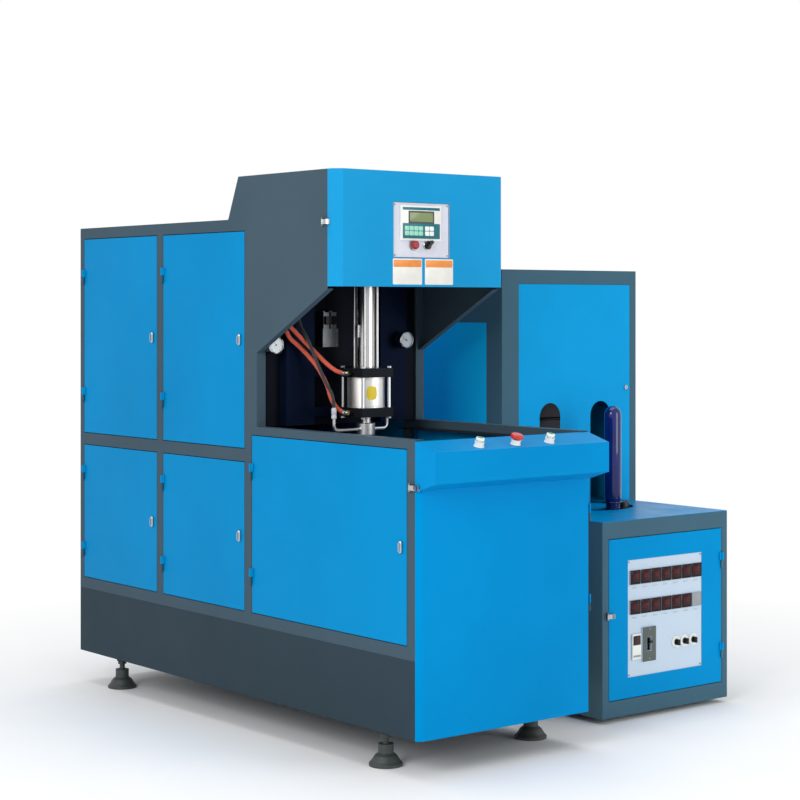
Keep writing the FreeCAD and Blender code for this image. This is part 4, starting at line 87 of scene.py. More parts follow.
HOSE_RADIUS, BLACK_HOSE_RADIUS = 8.0, 6.0
FERRULE_AT = (236.0, 772.0)
FERRULE_FOOT, FERRULE_LONG = 1157.0, 42.0
ROUTES = {
    "upper": [(99.0, 915.0, 1516.0), (99.0, 884.0, 1516.0), (132.0, 866.0, 1476.0), (168.0, 858.0, 1440.0),
              (206.0, 842.0, 1400.0), (236.0, 810.0, 1356.0), (264.0, 775.0, 1326.0),
              (300.0, 775.0, 1326.0)],
    "lower": [(99.0, 915.0, 1490.0), (99.0, 886.0, 1490.0), (112.0, 882.0, 1456.0), (152.0, 878.0, 1428.0),
              (187.0, 868.0, 1392.0), (217.0, 842.0, 1345.0), (241.0, 818.0, 1280.0),
              (250.0, 806.0, 1222.0), (272.0, 775.0, 1178.0), (300.0, 775.0, 1178.0)],
    "black": [(160.0, 889.0, 1545.0), (160.0, 889.0, 1508.0), (166.0, 840.0, 1456.0), (182.0, 828.0, 1400.0),
              (202.0, 812.0, 1340.0), (218.0, 796.0, 1285.0), (236.0, 772.0, 1240.0),
              (236.0, 772.0, 1199.0)],
}

GAUGES = {"right": (649.0, 853.0, 1444.0), "left": (62.0, 893.0, 1431.0)}  # middle of each gauge's rim
DIAL_RADIUS = 28.9
TICK_COUNT, TICKS_FROM, TICKS_TO = 31, 225.0, -45.0
NEEDLE_AT = 140.0

VALVE_FACE = 895.0
VALVE_SCREWS = [(x, z) for x in (286.0, 340.0) for z in (1430.0, 1481.0)]
VALVE_COILS = ((283.0, 309.0), (317.0, 343.0))
COIL_PLUG_Y, COIL_PLUG_Z = (888.0, 901.0), (1505.0, 1537.0)
COIL_NUT_Y, COIL_NUT_Z = 920.0, 1552.0

# Each toggle latch: its pin, whether it faces left, the bodies of its base, flap and catch, and how far
# its base reaches behind the pin.
TOGGLES = [("hood", (0.0, 513.0, 1872.0), True, "root", "hood_toggle_latch", "hood_front_door", 16.0),
           ("front", (0.0, 28.0, 972.0), True, "root", "front_toggle_latch", "front_panel", 16.0),
           ("box", (1107.0, 226.0, 406.0), False, "root", "box_toggle_latch", "box_door", 8.0)]
STRIKE_SPAN = {"hood": (22.2, 32.7), "front": (32.2, 42.7), "box": (27.8, 38.3)}
RIVETED_FOOT = 12.0  # bases with a longer foot than this are riveted
LATCHES = {"mould_latch": (82.0, 769.0), "mid_lower_latch": (1039.0, 718.0),
           "mid_upper_latch": (1039.0, 1450.0), "rear_lower_latch": (1653.0, 718.0),
           "rear_upper_latch": (1653.0, 1450.0)}
LATCH_HALF_WIDE, LATCH_HALF_LONG, LATCH_FACE = 7.6, 21.6, -7.0

FEET = [(x, y) for x in (62.0, 738.0) for y in (245.0, 1995.0)]
JAM_NUT_TOP = 113.0
WASHER_THICK = 3.0
REAR_PLANE = 2230.0  # rear face of the cabinet's frame
RAIL_SIDES, RAIL_WIDE = (0.0, 760.0), 40.0
RAIL_ENDS = ((395.0, 439.0), (1856.0, 1898.0))

METER_FACE = 229.0  # meter plate behind the box door's window
MODULE_FACE = METER_FACE - 7.0
MODULE_ROWS = (514.0, 400.0)
MODULES_IN_ROW, MODULE_FIRST, MODULE_PITCH, MODULE_SIZE = 7, 1233.0, 57.0, 54.0
THERMOSTAT_BOX = (1243.0, 1291.0, 228.0, 324.0)
THERMOSTAT_FACE = METER_FACE - 6.0
BREAKER_BOX = (1299.0, 1371.0, 214.0, 346.0)
BREAKER_SLOT = (1322.0, 1348.0, 253.0, 307.0)
BREAKER_FACE = METER_FACE - 9.2
KNOBS_X, KNOBS_Z = (1489.0, 1536.0, 1585.0), 270.0
METER_SCREWS_BOX = (1231.0, 1628.0, 170.0, 600.0)

TURN_X, TURN_Y = 1471.0, 708.0
TABLE_TOP = 762.0
ISLAND_RADIUS, ISLAND_SUNK = 118.0, 5.2
MANDREL_CIRCLE = 154.5
PREFORM_FOOT, PREFORM_TOP = 757.0, 1174.0
PREFORM_RADIUS, NECK_RADIUS, PREFORM_WALL = 34.0, 27.5, 4.0

# ---- camera of the photograph ----------------------------------------
CAMERA_AT = Vector((-4.991, -6.0335, 1.580))
CAMERA_LOOKS = Vector((0.6284, 0.7779, 0.0))
LENS = 87.3
SENSOR = 36.0
SHIFT_Y = -0.119

# ---- floor and light, in metres and watts ----------------------------
FLOOR_RADIUS, FLOOR_DROP = 14.0, 0.0005
FLOOR_FADE = (1.2, 3.2)  # distances between which the floor turns into the background
WORLD_STRENGTH = 0.58
SOFTBOXES = {"key": ((-6.4, -2.6, 3.6), (0.0, 0.0, 1.0), (3.2, 3.0), 228.0),
             "fill": ((2.2, -6.4, 2.1), (0.2, 0.0, 1.0), (3.0, 3.2), 128.0),
             "top": ((0.0, 0.4, 5.2), (0.0, 0.0, 0.0), (4.0, 4.0), 110.0)}

LEFT, FRONT, UP, DOWN = (-1, 0, 0), (0, -1, 0), (0, 0, 1), (0, 0, -1)


def spot(x, y, z):
    """Point in the model's frame, in metres, from millimetres off the blower's corner."""
    return CORNER + Vector((x, y, z)) / 1000.0


def grown(box, by):
    """The box with each side moved out by so much, or in where it is negative."""
    x0, x1, z0, z1 = box
    return (x0 - by, x1 + by, z0 - by, z1 + by)


def corners(box):
    """The four corners of a box, the lower two first."""
    x0, x1, z0, z1 = box
    return [(x, z) for z in (z0, z1) for x in (x0, x1)]


def add_object(name, data):
    """New object with that data in the scene."""
    thing = bpy.data.objects.new(name, data)
    bpy.context.scene.collection.objects.link(thing)
    return thing


def tint(red, green, blue):
    """Linear colour of an 8-bit screen colour."""
    def linear(c):
        c /= 255.0
        return c / 12.92 if c <= 0.04045 else ((c + 0.055) / 1.055) ** 2.4
    return (linear(red), linear(green), linear(blue), 1.0)


# ---- material building blocks ----------------------------------------
EVEN = (1.0, 1.0, 1.0)  # noise without a direction; a small share draws it out that way


class Finish:
    """A node material that is put together step by step."""

    def __init__(self, name, roughness=0.5, metallic=0.0, **sockets):
        self.material = bpy.data.materials.new(name)
        self.material.use_nodes = True
        self.tree = self.material.node_tree
        self.tree.nodes.clear()
        self.out = self.add("ShaderNodeOutputMaterial")
        self.shader = self.add("ShaderNodeBsdfPrincipled")
        self.link(self.shader.outputs[0], self.out.inputs[0])
        self.shader.inputs["Roughness"].default_value = roughness
        self.shader.inputs["Metallic"].default_value = metallic
        for socket, value in sockets.items():
            self.shader.inputs[socket.replace("_", " ")].default_value = value
        self.where = self.add("ShaderNodeTexCoord").outputs["Object"]

    def add(self, kind, **settings):
        node = self.tree.nodes.new(kind)
        for name, value in settings.items():
            setattr(node, name, value)
        return node

    def link(self, source, target):
        self.tree.links.new(source, target)

    def feed(self, socket, value):
        """Sets a constant on the socket, or links another node's value to it."""
        if isinstance(value, (float, tuple)):
            socket.default_value = value
        else:
            self.link(value, socket)

    def math(self, operation, a, b=0.0):
        node = self.add("ShaderNodeMath", operation=operation)
        self.feed(node.inputs[0], a)
        self.feed(node.inputs[1], b)
        return node.outputs[0]

    def noise(self, scale, detail=3.0, stretch=EVEN, rough=0.5):
        mapping = self.add("ShaderNodeMapping")
        mapping.inputs["Scale"].default_value = stretch
        self.link(self.where, mapping.inputs["Vector"])
        texture = self.add("ShaderNodeTexNoise")
        texture.inputs["Scale"].default_value = scale
        texture.inputs["Detail"].default_value = detail
        texture.inputs["Roughness"].default_value = rough
        self.link(mapping.outputs[0], texture.inputs["Vector"])
        return texture.outputs["Fac"]

    def spread(self, value, low, high, new_low=0.0, new_high=1.0):
        node = self.add("ShaderNodeMapRange", clamp=True)
        for k, number in enumerate((low, high, new_low, new_high), start=1):
            node.inputs[k].default_value = number
        self.link(value, node.inputs[0])
        return node.outputs[0]

    def blend(self, share, first, second):
        node = self.add("ShaderNodeMix", data_type="RGBA")
        for k, value in ((0, share), (6, first), (7, second)):
            self.feed(node.inputs[k], value)
        return node.outputs[2]

    def colour(self, value):
        self.feed(self.shader.inputs["Base Color"], value)

    def roughness(self, value):
        self.link(value, self.shader.inputs["Roughness"])

    def rounded(self, radius):
        """Softened corners of folded sheet and machined edges."""
        bevel = self.add("ShaderNodeBevel", samples=4)
        bevel.inputs["Radius"].default_value = radius
        return bevel.outputs[0]

    def edge_wear(self, radius):
        """1 along sharp edges, 0 on the flats."""
        flat = self.add("ShaderNodeNewGeometry").outputs["Normal"]
        dot = self.add("ShaderNodeVectorMath", operation="DOT_PRODUCT")
        self.link(self.rounded(radius), dot.inputs[0])
        self.link(flat, dot.inputs[1])
        return self.spread(dot.outputs["Value"], 0.99, 0.80)

    def looking_left(self, beyond):
        """1 on faces that look towards -X and lie beyond that x."""
        parts = [self.add("ShaderNodeSeparateXYZ").outputs[0] for _ in range(2)]
        self.link(self.where, parts[0].node.inputs[0])
        self.link(self.add("ShaderNodeNewGeometry").outputs["Normal"], parts[1].node.inputs[0])
        return self.math("MULTIPLY", self.math("GREATER_THAN", parts[0], beyond),
                         self.math("LESS_THAN", parts[1], -0.5))

    def bump(self, height, distance, strength=1.0, under=None):
        node = self.add("ShaderNodeBump")
        node.inputs["Strength"].default_value = strength
        node.inputs["Distance"].default_value = distance
        self.link(height, node.inputs["Height"])
        if under is not None:
            self.link(under, node.inputs["Normal"])
        self.link(node.outputs[0], self.shader.inputs["Normal"])
        return node.outputs[0]


def darker(colour, share):
    """The colour times a share, or lighter where the share is above 1."""
    return tuple(c * share for c in colour[:3]) + (1.0,)


def paint(name, rgb, roughness, variation=0.07, peel=0.00012, wear=0.35, painted_light_colour=None, lined_beyond=0.0):
    """Powder coat: orange peel, faint patches, and edges where the coat has thinned.

    Where a lighter colour is given for them, faces beyond that x which look towards -X take it: painted
    light on sides that lie in shade.
    """
    base = tint(*rgb)
    strongest = max(base[:3])
    f = Finish(name, roughness=roughness, Specular_IOR_Level=0.06,
               Specular_Tint=tuple(0.12 + 0.88 * c / strongest for c in base[:3]) + (1.0,))
    patches = f.spread(f.noise(1.7, 4.0), 0.3, 0.7)
    grain = f.spread(f.noise(260.0, 2.0), 0.35, 0.65)
    colour = f.blend(patches, darker(base, 1.0 - variation), darker(base, 1.0 + variation))
    colour = f.blend(f.math("MULTIPLY", grain, 0.12), colour, darker(base, 1.25))
    # painted light: the -X faces beyond that x get the given lighter colour, as if lit, in place of their
    # shade
    if painted_light_colour is not None:
        colour = f.blend(f.looking_left(lined_beyond), colour, tint(*painted_light_colour))
    scuffs = f.math("MULTIPLY", f.edge_wear(0.0016), f.spread(f.noise(38.0, 5.0), 0.42, 0.62))
    pale = tuple(min(1.0, c * 1.5 + 0.05) for c in base[:3]) + (1.0,)
    f.colour(f.blend(f.math("MULTIPLY", scuffs, wear), colour, pale))
    f.roughness(f.spread(f.noise(9.0, 5.0), 0.25, 0.75, roughness - 0.05, roughness + 0.08))
    f.bump(f.noise(620.0, 2.0), peel, 0.6, f.rounded(0.0012))
    return f.material


def metal(name, rgb, roughness, lay=EVEN, scale=220.0, depth=0.00005, contrast=0.12):
    """Bare metal with the lay of its machining along one direction."""
    f = Finish(name, roughness=roughness, metallic=1.0)
    base = tint(*rgb)
    marks = f.noise(scale, 3.0, lay, 0.6)
    cloud = f.spread(f.noise(14.0, 4.0), 0.3, 0.7)
    colour = f.blend(f.spread(marks, 0.3, 0.7), darker(base, 1.0 - contrast), base)
    f.colour(f.blend(f.math("MULTIPLY", cloud, 0.35), colour, darker(base, 0.86)))
    f.roughness(f.spread(marks, 0.3, 0.7, max(0.03, roughness - 0.06), roughness + 0.08))
    f.bump(marks, depth, 0.5, f.rounded(0.0007))
    return f.material


def plastic(name, rgb, roughness, texture=0.00006, **sockets):
    """Moulded plastic with a fine eroded texture."""
    sockets.setdefault("Specular_IOR_Level", 0.3)
    f = Finish(name, roughness=roughness, **sockets)
    base = tint(*rgb)
    f.colour(f.blend(f.spread(f.noise(24.0, 4.0), 0.3, 0.7), darker(base, 0.94), darker(base, 1.05)))
    f.roughness(f.spread(f.noise(60.0, 3.0), 0.3, 0.7, roughness - 0.04, roughness + 0.06))
    f.bump(f.noise(900.0, 2.0), texture, 0.5, f.rounded(0.0005))
    return f.material


def cast_iron(name, rgb):
    """Rough grey iron with a breath of rust."""
    f = Finish(name, roughness=0.55, metallic=0.15)
    base = tint(*rgb)
    rust = f.spread(f.noise(42.0, 6.0, rough=0.65), 0.55, 0.75)
    f.colour(f.blend(f.math("MULTIPLY", rust, 0.3), base, tint(70, 62, 56)))
    f.roughness(f.spread(f.noise(80.0, 4.0), 0.3, 0.7, 0.42, 0.66))
    f.bump(f.noise(420.0, 5.0), 0.0004, 0.7, f.rounded(0.0015))
    return f.material


def woven_hose(name, rgb, threads, pitch):
    """Braided cover: two crossing sets of threads round the hose, from the tube's own UV."""
    f = Finish(name, roughness=0.62, Sheen_Weight=0.25)
    base = tint(*rgb)
    uv = f.add("ShaderNodeUVMap", uv_map="Tube").outputs[0]
    parts = f.add("ShaderNodeSeparateXYZ")
    f.link(uv, parts.inputs[0])
    along = f.math("MULTIPLY", parts.outputs[0], 2 * math.pi / pitch)
    around = f.math("MULTIPLY", parts.outputs[1], 2 * math.pi * threads)
    one = f.math("SINE", f.math("ADD", along, around))
    two = f.math("SINE", f.math("SUBTRACT", along, around))
    weave = f.spread(f.math("MAXIMUM", one, two), -0.4, 1.0)
    tone = f.blend(weave, darker(base, 0.5), darker(base, 1.12))
    f.colour(f.blend(f.spread(f.noise(30.0, 4.0), 0.35, 0.75, 0.0, 0.3), tone, darker(base, 0.72)))
    f.bump(weave, 0.0006, 0.8)
    return f.material


def clear_cover(name):
    """Thin clear glass over a dial."""
    f = Finish(name, roughness=0.03, Transmission_Weight=1.0, IOR=1.45)
    f.colour((0.97, 0.985, 0.98, 1.0))
    f.bump(f.noise(30.0, 2.0), 0.00002, 0.2)
    return f.material


def bottle_blue(name):
    """Thick-walled blue PET: deep colour, high gloss, light showing through the thin edges."""
    f = Finish(name, roughness=0.07, Transmission_Weight=0.08, IOR=1.575, Coat_Weight=0.25,
               Coat_Roughness=0.02, Specular_IOR_Level=0.22)
    base = tint(10, 26, 98)
    f.colour(f.blend(f.spread(f.noise(9.0, 3.0), 0.3, 0.7), darker(base, 0.8), darker(base, 1.15)))
    f.bump(f.noise(70.0, 2.0), 0.00008, 0.3)
    return f.material


def lamp_glass(name):
    """Frosted tubes of the heating lamps, unlit."""
    f = Finish(name, roughness=0.16, metallic=0.6)
    f.colour(f.blend(f.spread(f.noise(60.0, 3.0), 0.3, 0.7), tint(196, 190, 178), tint(224, 220, 210)))
    f.bump(f.noise(300.0, 2.0), 0.0001, 0.3)
    return f.material


# ---- finishes: 8-bit screen colours ----------------------------------
SIDE_BLUE = (0, 130, 187)
FRONT_BLUE = (0, 132, 193)
HOOD_BLUE = (28, 145, 199)
SLATE = (63, 81, 93)
PLINTH = (46, 60, 69)
OVEN_BLUE = (18, 152, 212)
OVEN_GREY = (66, 98, 114)
GLOSSY, SATIN = 0.34, 0.42  # roughness of the paints
SLICK = 0.00001  # texture depth of smooth films

MATERIALS = [
    paint("plinth_paint", PLINTH, SATIN),
    paint("frame_paint", SLATE, SATIN),
    paint("blue_paint", SIDE_BLUE, GLOSSY),
    paint("hood_blue", HOOD_BLUE, GLOSSY),
    paint("front_blue", FRONT_BLUE, GLOSSY),
    paint("oven_grey", OVEN_GREY, SATIN),
    paint("black_sheet", (12, 15, 21), 0.5, wear=0.1),
    paint("beam_paint", (7, 15, 32), 0.4, wear=0.12),
    paint("receiver_paint", (44, 60, 72), 0.4),
    cast_iron("foot_iron", (56, 63, 62)),
    metal("mould_aluminium", (190, 194, 198), 0.3, (0.02, 1.0, 1.0), scale=420.0),
    metal("machined_steel", (132, 137, 142), 0.34, (1.0, 1.0, 0.03), scale=260.0),
    metal("ground_steel", (176, 180, 184), 0.2, (0.4, 1.0, 1.0), scale=500.0),
    metal("polished_tube", (190, 190, 190), 0.2, (1.0, 1.0, 0.012), 500.0, depth=0.000004, contrast=0.1),
    paint("black_plate", (26, 29, 33), 0.38, wear=0.5),
    metal("chrome", (190, 193, 196), 0.1, scale=160.0, depth=0.00002, contrast=0.08),
    metal("valve_alloy", (116, 120, 125), 0.4, scale=320.0, depth=0.0001),
    woven_hose("red_hose", (226, 92, 58), threads=10, pitch=0.0075),
    woven_hose("black_hose", (40, 42, 46), threads=9, pitch=0.006),
    plastic("white_plate", (206, 208, 218), 0.32),
    plastic("keypad", (226, 231, 233), 0.35),
    plastic("red_button", (190, 44, 42), 0.22, Coat_Weight=0.3),
    plastic("white_button", (228, 231, 228), 0.25, Coat_Weight=0.3),
    plastic("black_knob", (22, 23, 26), 0.3),
    bottle_blue("preform_pet"),
    lamp_glass("lamp"),
    # looks of pieces that only the scene has
    plastic("teal_film", (12, 104, 116), 0.3),
    plastic("mint_key", (150, 212, 188), 0.34),
    plastic("white_key", (232, 235, 230), 0.34),
    plastic("display", (128, 144, 98), 0.16, SLICK),
    plastic("orange_film", (232, 142, 66), 0.3),
    plastic("paper_film", (232, 230, 222), 0.34),
    plastic("yellow_film", (232, 204, 58), 0.3),
    plastic("dark_red", (44, 7, 13), 0.12, SLICK, Specular_IOR_Level=0.18),
    plastic("maroon_frame", (34, 14, 20), 0.3, Specular_IOR_Level=0.15),
    plastic("pale_grey", (176, 186, 192), 0.4),
    plastic("breaker_grey", (84, 92, 88), 0.36),
    plastic("segment_red", (150, 34, 34), 0.3),
    plastic("grey_frame", (150, 156, 160), 0.36),
    plastic("dark_frame", (64, 68, 74), 0.36),
    plastic("green_cap", (52, 150, 88), 0.24),
    plastic("black_film", (18, 20, 24), 0.3),
    plastic("dial_white", (198, 210, 222), 0.4),
    metal("satin_steel", (226, 225, 222), 0.42, (1.0, 1.0, 0.02), 400.0, depth=0.000006, contrast=0.08),
    metal("brass", (196, 164, 92), 0.24, scale=240.0),
    metal("zinc", (158, 162, 166), 0.28, scale=300.0),
    clear_cover("glass"),
]


def plain_name(material):
    """The material's name without the number that Blender adds where a name is taken."""
    return material.name.split(".")[0]


LOOKS = {plain_name(material): material for material in MATERIALS}

# Looks of the nodes that differ from the others in their material slot.
OWN_LOOK = {
    "mandrels": metal("mandrel_steel", (70, 74, 80), 0.4, (1.0, 1.0, 0.1), scale=240.0),
    "lamp_bank": metal("reflector", (62, 62, 66), 0.34, (0.05, 1.0, 1.0), scale=200.0),
    "turntable": metal("disc_steel", (58, 62, 68), 0.42, scale=240.0),
    # The lighter colours given for faces that look towards -X on the heater's box, the tower and the fixed
    # blue panels are painted light on those shaded sides.
    "oven_base": paint("box_grey", OVEN_GREY, SATIN, painted_light_colour=(90, 124, 136)),
    "oven_panels": paint("oven_blue", OVEN_BLUE, GLOSSY, painted_light_colour=(14, 184, 240)),
    "box_door": paint("box_blue", (0, 136, 197), GLOSSY),
    "fixed_panels": paint("lined_blue", SIDE_BLUE, GLOSSY, painted_light_colour=(4, 172, 240), lined_beyond=-0.13),
    "hood_stop_button": plastic("stop_red", (150, 22, 34), 0.22, Coat_Weight=0.3),
    "blow_nozzle": metal("nozzle_steel", (206, 206, 206), 0.34, (1.0, 1.0, 0.1), scale=300.0),
    "meter_panel": paint("meter_plate", (192, 208, 222), GLOSSY, variation=0.015, peel=0.00005, wear=0.1),
}


def finish_nodes():
    """Puts each CAD node's finish into its object's material slot."""
    for name, node in NODES.items():
        node.material_slots[0].link = "OBJECT"
        node.material_slots[0].material = OWN_LOOK.get(name, LOOKS[plain_name(node.data.materials[0])])


# ---- pieces in mesh code ---------------------------------------------
def put(name, bm, look, body=None, sharp=35.0):
    """Mesh piece that rides on a body, smooth but for edges sharper than the angle."""
    mesh = bpy.data.meshes.new(name)
    bmesh.ops.recalc_face_normals(bm, faces=bm.faces[:])
    bm.to_mesh(mesh)
    bm.free()
    mesh.shade_smooth()
    mesh.set_sharp_from_angle(angle=math.radians(sharp))
    mesh.materials.append(LOOKS[look])
    piece = add_object(name, mesh)
    if body:
        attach(piece, body)
    return piece


def rounded_outline(box, radius, steps=5):
    """Outline of a box with round corners."""
    x0, x1, z0, z1 = box
    points = []
    for cx, cz, start in ((x1 - radius, z0 + radius, -90), (x1 - radius, z1 - radius, 0),
                          (x0 + radius, z1 - radius, 90), (x0 + radius, z0 + radius, 180)):
        for k in range(steps + 1):
            a = math.radians(start + 90 * k / steps)
            points.append((cx + radius * math.cos(a), cz + radius * math.sin(a)))
    return points


def join_rings(bm, rings, closed=False):
    """Faces from each ring of vertices to the next, and from the last to the first if closed."""
    for low, high in zip(rings, rings[1:] + rings[:1] if closed else rings[1:]):
        for k in range(len(low)):
            n = (k + 1) % len(low)
            bm.faces.new((low[k], low[n], high[n], high[k]))


def cap_ends(bm, rings):
    """One face over the first ring and one over the last."""
    bm.faces.new(rings[0][::-1])
    bm.faces.new(rings[-1])


def ring_at(bm, box, radius, y):
    """Ring of vertices round a box with round corners, at the depth y."""
    return [bm.verts.new(spot(x, y, z)) for x, z in rounded_outline(box, radius)]


def front_plate(name, box, face, thick, look, body, radius=2.0, edge=0.6, back=1.0):
    """Plate that faces the operator, or the rear with back=-1: round corners, rolled edges on its face."""
    bm = bmesh.new()
    rings = [ring_at(bm, grown(box, -inset), max(0.1, radius - inset), face + back * depth)
             for depth, inset in ((thick, 0.0), (edge, 0.0), (0.3 * edge, 0.3 * edge), (0.0, edge))]
    join_rings(bm, rings)
    cap_ends(bm, rings)
    return put(name, bm, look, body)


def front_frame(name, outer, inner, face, thick, look, body, radius=2.0, edge=0.8):
    """Frame that faces the operator, between two boxes, with rolled edges."""
    bm = bmesh.new()
    rings = [ring_at(bm, grown(outer, -inset), max(0.1, radius - inset), face + depth)
             for depth, inset in ((thick, 0.0), (edge, 0.0), (0.0, edge))]
    rings += [ring_at(bm, grown(inner, outset), 0.6 * radius + outset, face + depth)
              for depth, outset in ((0.0, edge), (edge, 0.0), (thick, 0.0))]
    join_rings(bm, rings, closed=True)
    return put(name, bm, look, body)


def lathe(name, profile, foot, axis, look, body, sides=48, slot=None, sharp=35.0):
    """Piece turned about an axis from its foot: profile is (radius, height)."""
    bm = bmesh.new()
    turn = Vector(axis).to_track_quat("Z", "Y").to_matrix()
    angles = [2 * math.pi * k / sides for k in range(sides)]
    rings = []
    for radius, height in profile:
        around = angles if radius else [0.0]
        places = [(radius * math.cos(a), radius * math.sin(a), height) for a in around]
        rings.append([bm.verts.new(foot + turn @ Vector(place) / 1000.0) for place in places])
    for low, high in zip(rings, rings[1:]):
        if len(low) == len(high) == 1:
            continue
        for k in range(sides):
            n = (k + 1) % sides
            if len(low) == 1:
                bm.faces.new((low[0], high[n], high[k]))
            elif len(high) == 1:
                bm.faces.new((low[k], low[n], high[0]))
            else:
                bm.faces.new((low[k], low[n], high[n], high[k]))
    return put(name, bm, look, body, sharp)


def hex_nut(name, across, height, foot, axis, look, body):
    """Hexagon nut or bolt head with its corners turned off."""
    corner = across * 0.577
    flat = across / 2
    profile = [(0, 0), (flat, 0), (corner, 0.6), (corner, height - 0.9), (flat, height), (0, height)]
    return lathe(name, profile, foot, axis, look, body, 6, sharp=20.0)


def pan_screw(name, radius, foot, body):
    """Low round-head screw that faces the operator."""
    profile = [(radius * across, radius * rise) for across, rise in
               ((0, 0), (1, 0), (1, 0.25), (0.8, 0.6), (0.4, 0.75), (0.3, 0.45), (0, 0.4))]
    return lathe(name, profile, foot, FRONT, "zinc", body, 20)


def small_block(name, place, u, w, v, look, body, round_off=0.7):
    """Block with rounded edges between two values each of u, w and v, which place() brings to a point."""
    bm = bmesh.new()
    grid = [[[bm.verts.new(place(a, b, c)) for c in v] for b in w] for a in u]
    loop = ((0, 0), (0, 1), (1, 1), (1, 0))
    for k in (0, 1):
        bm.faces.new([grid[k][i][j] for i, j in loop])
        bm.faces.new([grid[i][k][j] for i, j in loop])
        bm.faces.new([grid[i][j][k] for i, j in loop])
    bmesh.ops.bevel(bm, geom=bm.edges[:], offset=round_off / 1000.0, segments=2, affect="EDGES")
    return put(name, bm, look, body, sharp=50.0)


def smooth_line(name, route):
    """Points of a spline whose control points are the route's."""
    curve = bpy.data.curves.new(name + "_line", "CURVE")
    curve.dimensions = "3D"
    curve.resolution_u = 10
    spline = curve.splines.new("NURBS")
    spline.points.add(len(route) - 1)
    for point, place in zip(spline.points, route):
        point.co = (*spot(*place), 1.0)
    spline.order_u = 3
    spline.use_endpoint_u = True
    line = add_object(name + "_line", curve)
    bpy.context.view_layer.update()
    sampled = bpy.data.meshes.new_from_object(line)
    path = [v.co.copy() for v in sampled.vertices]
    bpy.data.objects.remove(line)
    bpy.data.meshes.remove(sampled)
    return path


def tube_along(name, path, radius, look, body=None, sides=20):
    """Hose along a path, with its length and turn as the UV map Tube, for the woven cover."""
    bm = bmesh.new()
    uv = bm.loops.layers.uv.new("Tube")
    rings, lengths = [], [0.0]
    side = (path[1] - path[0]).orthogonal().normalized()
    for k, point in enumerate(path):
        ahead = (path[min(k + 1, len(path) - 1)] - path[max(k - 1, 0)]).normalized()
        side = (side - ahead * side.dot(ahead)).normalized()
        other = ahead.cross(side)
        rings.append([bm.verts.new(point + (side * math.cos(a) + other * math.sin(a)) * radius / 1000.0)
                      for a in (2 * math.pi * n / sides for n in range(sides))])
        if k:
            lengths.append(lengths[-1] + (point - path[k - 1]).length)
    for k in range(len(path) - 1):
        for n in range(sides):
            m = (n + 1) % sides
            face = bm.faces.new((rings[k][n], rings[k][m], rings[k + 1][m], rings[k + 1][n]))
            for loop, (step, share) in zip(face.loops, ((k, n), (k, n + 1), (k + 1, n + 1), (k + 1, n))):
                loop[uv].uv = (lengths[step], share / sides)
    cap_ends(bm, rings)
    return put(name, bm, look, body)


# ---- hood door: control plate, keypad, colour fields -----------------
def control_panel():
    """Trim, films, display and keys of the control plate, its screws and the rings of its two switches."""
    door = "hood_front_door"
    front_frame("plate_trim", grown(PLATE_BOX, 0.6), grown(PLATE_BOX, -1.2), PLATE_FACE - 1.4, 1.4,
                "dark_frame", door, 1.0, 0.4)
    x0, x1, z0, z1 = KEYPAD_BOX
    x0, x1, film = x0 + 7.0, x1 - 7.0, KEYPAD_FACE - 0.9
    front_plate("keypad_film", grown(KEYPAD_BOX, -2.0), KEYPAD_FACE - 0.5, 0.5, "paper_film", door, 4.0, 0.2)
    front_plate("keypad_bar", (x0, x1, z1 - 16.0, z1 - 6.0), film, 0.5, "teal_film", door, 1.5, 0.2)
    front_plate("keypad_field", (x0, x1, z0 + 7.0, z0 + 62.0), film, 0.5, "teal_film", door, 2.5, 0.2)
    front_frame("display_bezel", BEZEL_BOX, grown(BEZEL_BOX, -6.0), KEYPAD_FACE - 2.0, 2.0, "dark_frame",
                door)
    front_plate("display_glass", grown(BEZEL_BOX, -5.0), film, 0.5, "display", door, 1.0, 0.1)
    for row in range(2):
        for k in range(KEY_COLUMNS):
            mint = k < MINT_COLUMNS
            left = KEY_FIRST[0] + k * KEY_PITCH + (0.0 if mint else KEY_GAP)
            low = KEY_FIRST[1] + row * KEY_ROW_PITCH
            key = (left, left + KEY_WIDE, low, low + KEY_HIGH)
            front_plate("key_%d_%d" % (row, k), key, KEYPAD_FACE - 1.9, 1.4,
                        "mint_key" if mint else "white_key", door, 3.0)
    for k, (x, z) in enumerate(corners(grown(PLATE_BOX, -9.0))):
        pan_screw("plate_screw_%d" % k, 3.4, spot(x, PLATE_FACE, z), door)
    for k, (left, right) in enumerate(FIELD_SPANS):
        field = (left, right, FIELD_LOW, FIELD_HIGH)
        head = (left + 3.0, right - 3.0, HEAD_LOW, HEAD_HIGH)
        front_plate("field_%d" % k, field, HOOD_FACE - 0.35, 0.35, "paper_film", door, 4.0, 0.15)
        front_plate("field_head_%d" % k, head, HOOD_FACE - 0.6, 0.3, "orange_film", door, 3.0, 0.1)
    for name, (x, z), bore, rim, lip, side, high, look in (
            ("stop_ring", STOP_AT, 17.5, 20.5, 19.2, 2.4, 3.6, "zinc"),
            ("selector_ring", SELECTOR_AT, 15.5, 18.6, 17.6, 2.6, 3.8, "chrome")):
        lathe(name, [(bore, 0), (rim, 0), (rim, side), (lip, high), (bore, high), (bore, 0)],
              spot(x, PLATE_FACE, z), FRONT, look, door)


# ---- nose console: collars and caps of the buttons -------------------
def nose_point(x, height=0.0):
    """Point over the nose's sloped top and the direction that stands on it."""
    up = Vector((0.0, -math.sin(NOSE_SLOPE), math.cos(NOSE_SLOPE)))
    y = NOSE_FRONT + BUTTON_SEAT * (NOSE_BACK - NOSE_FRONT)
    z = NOSE_EDGE_TOP + BUTTON_SEAT * (NOSE_TOP - NOSE_EDGE_TOP)
    return spot(x, y, z) + up * height / 1000.0, up


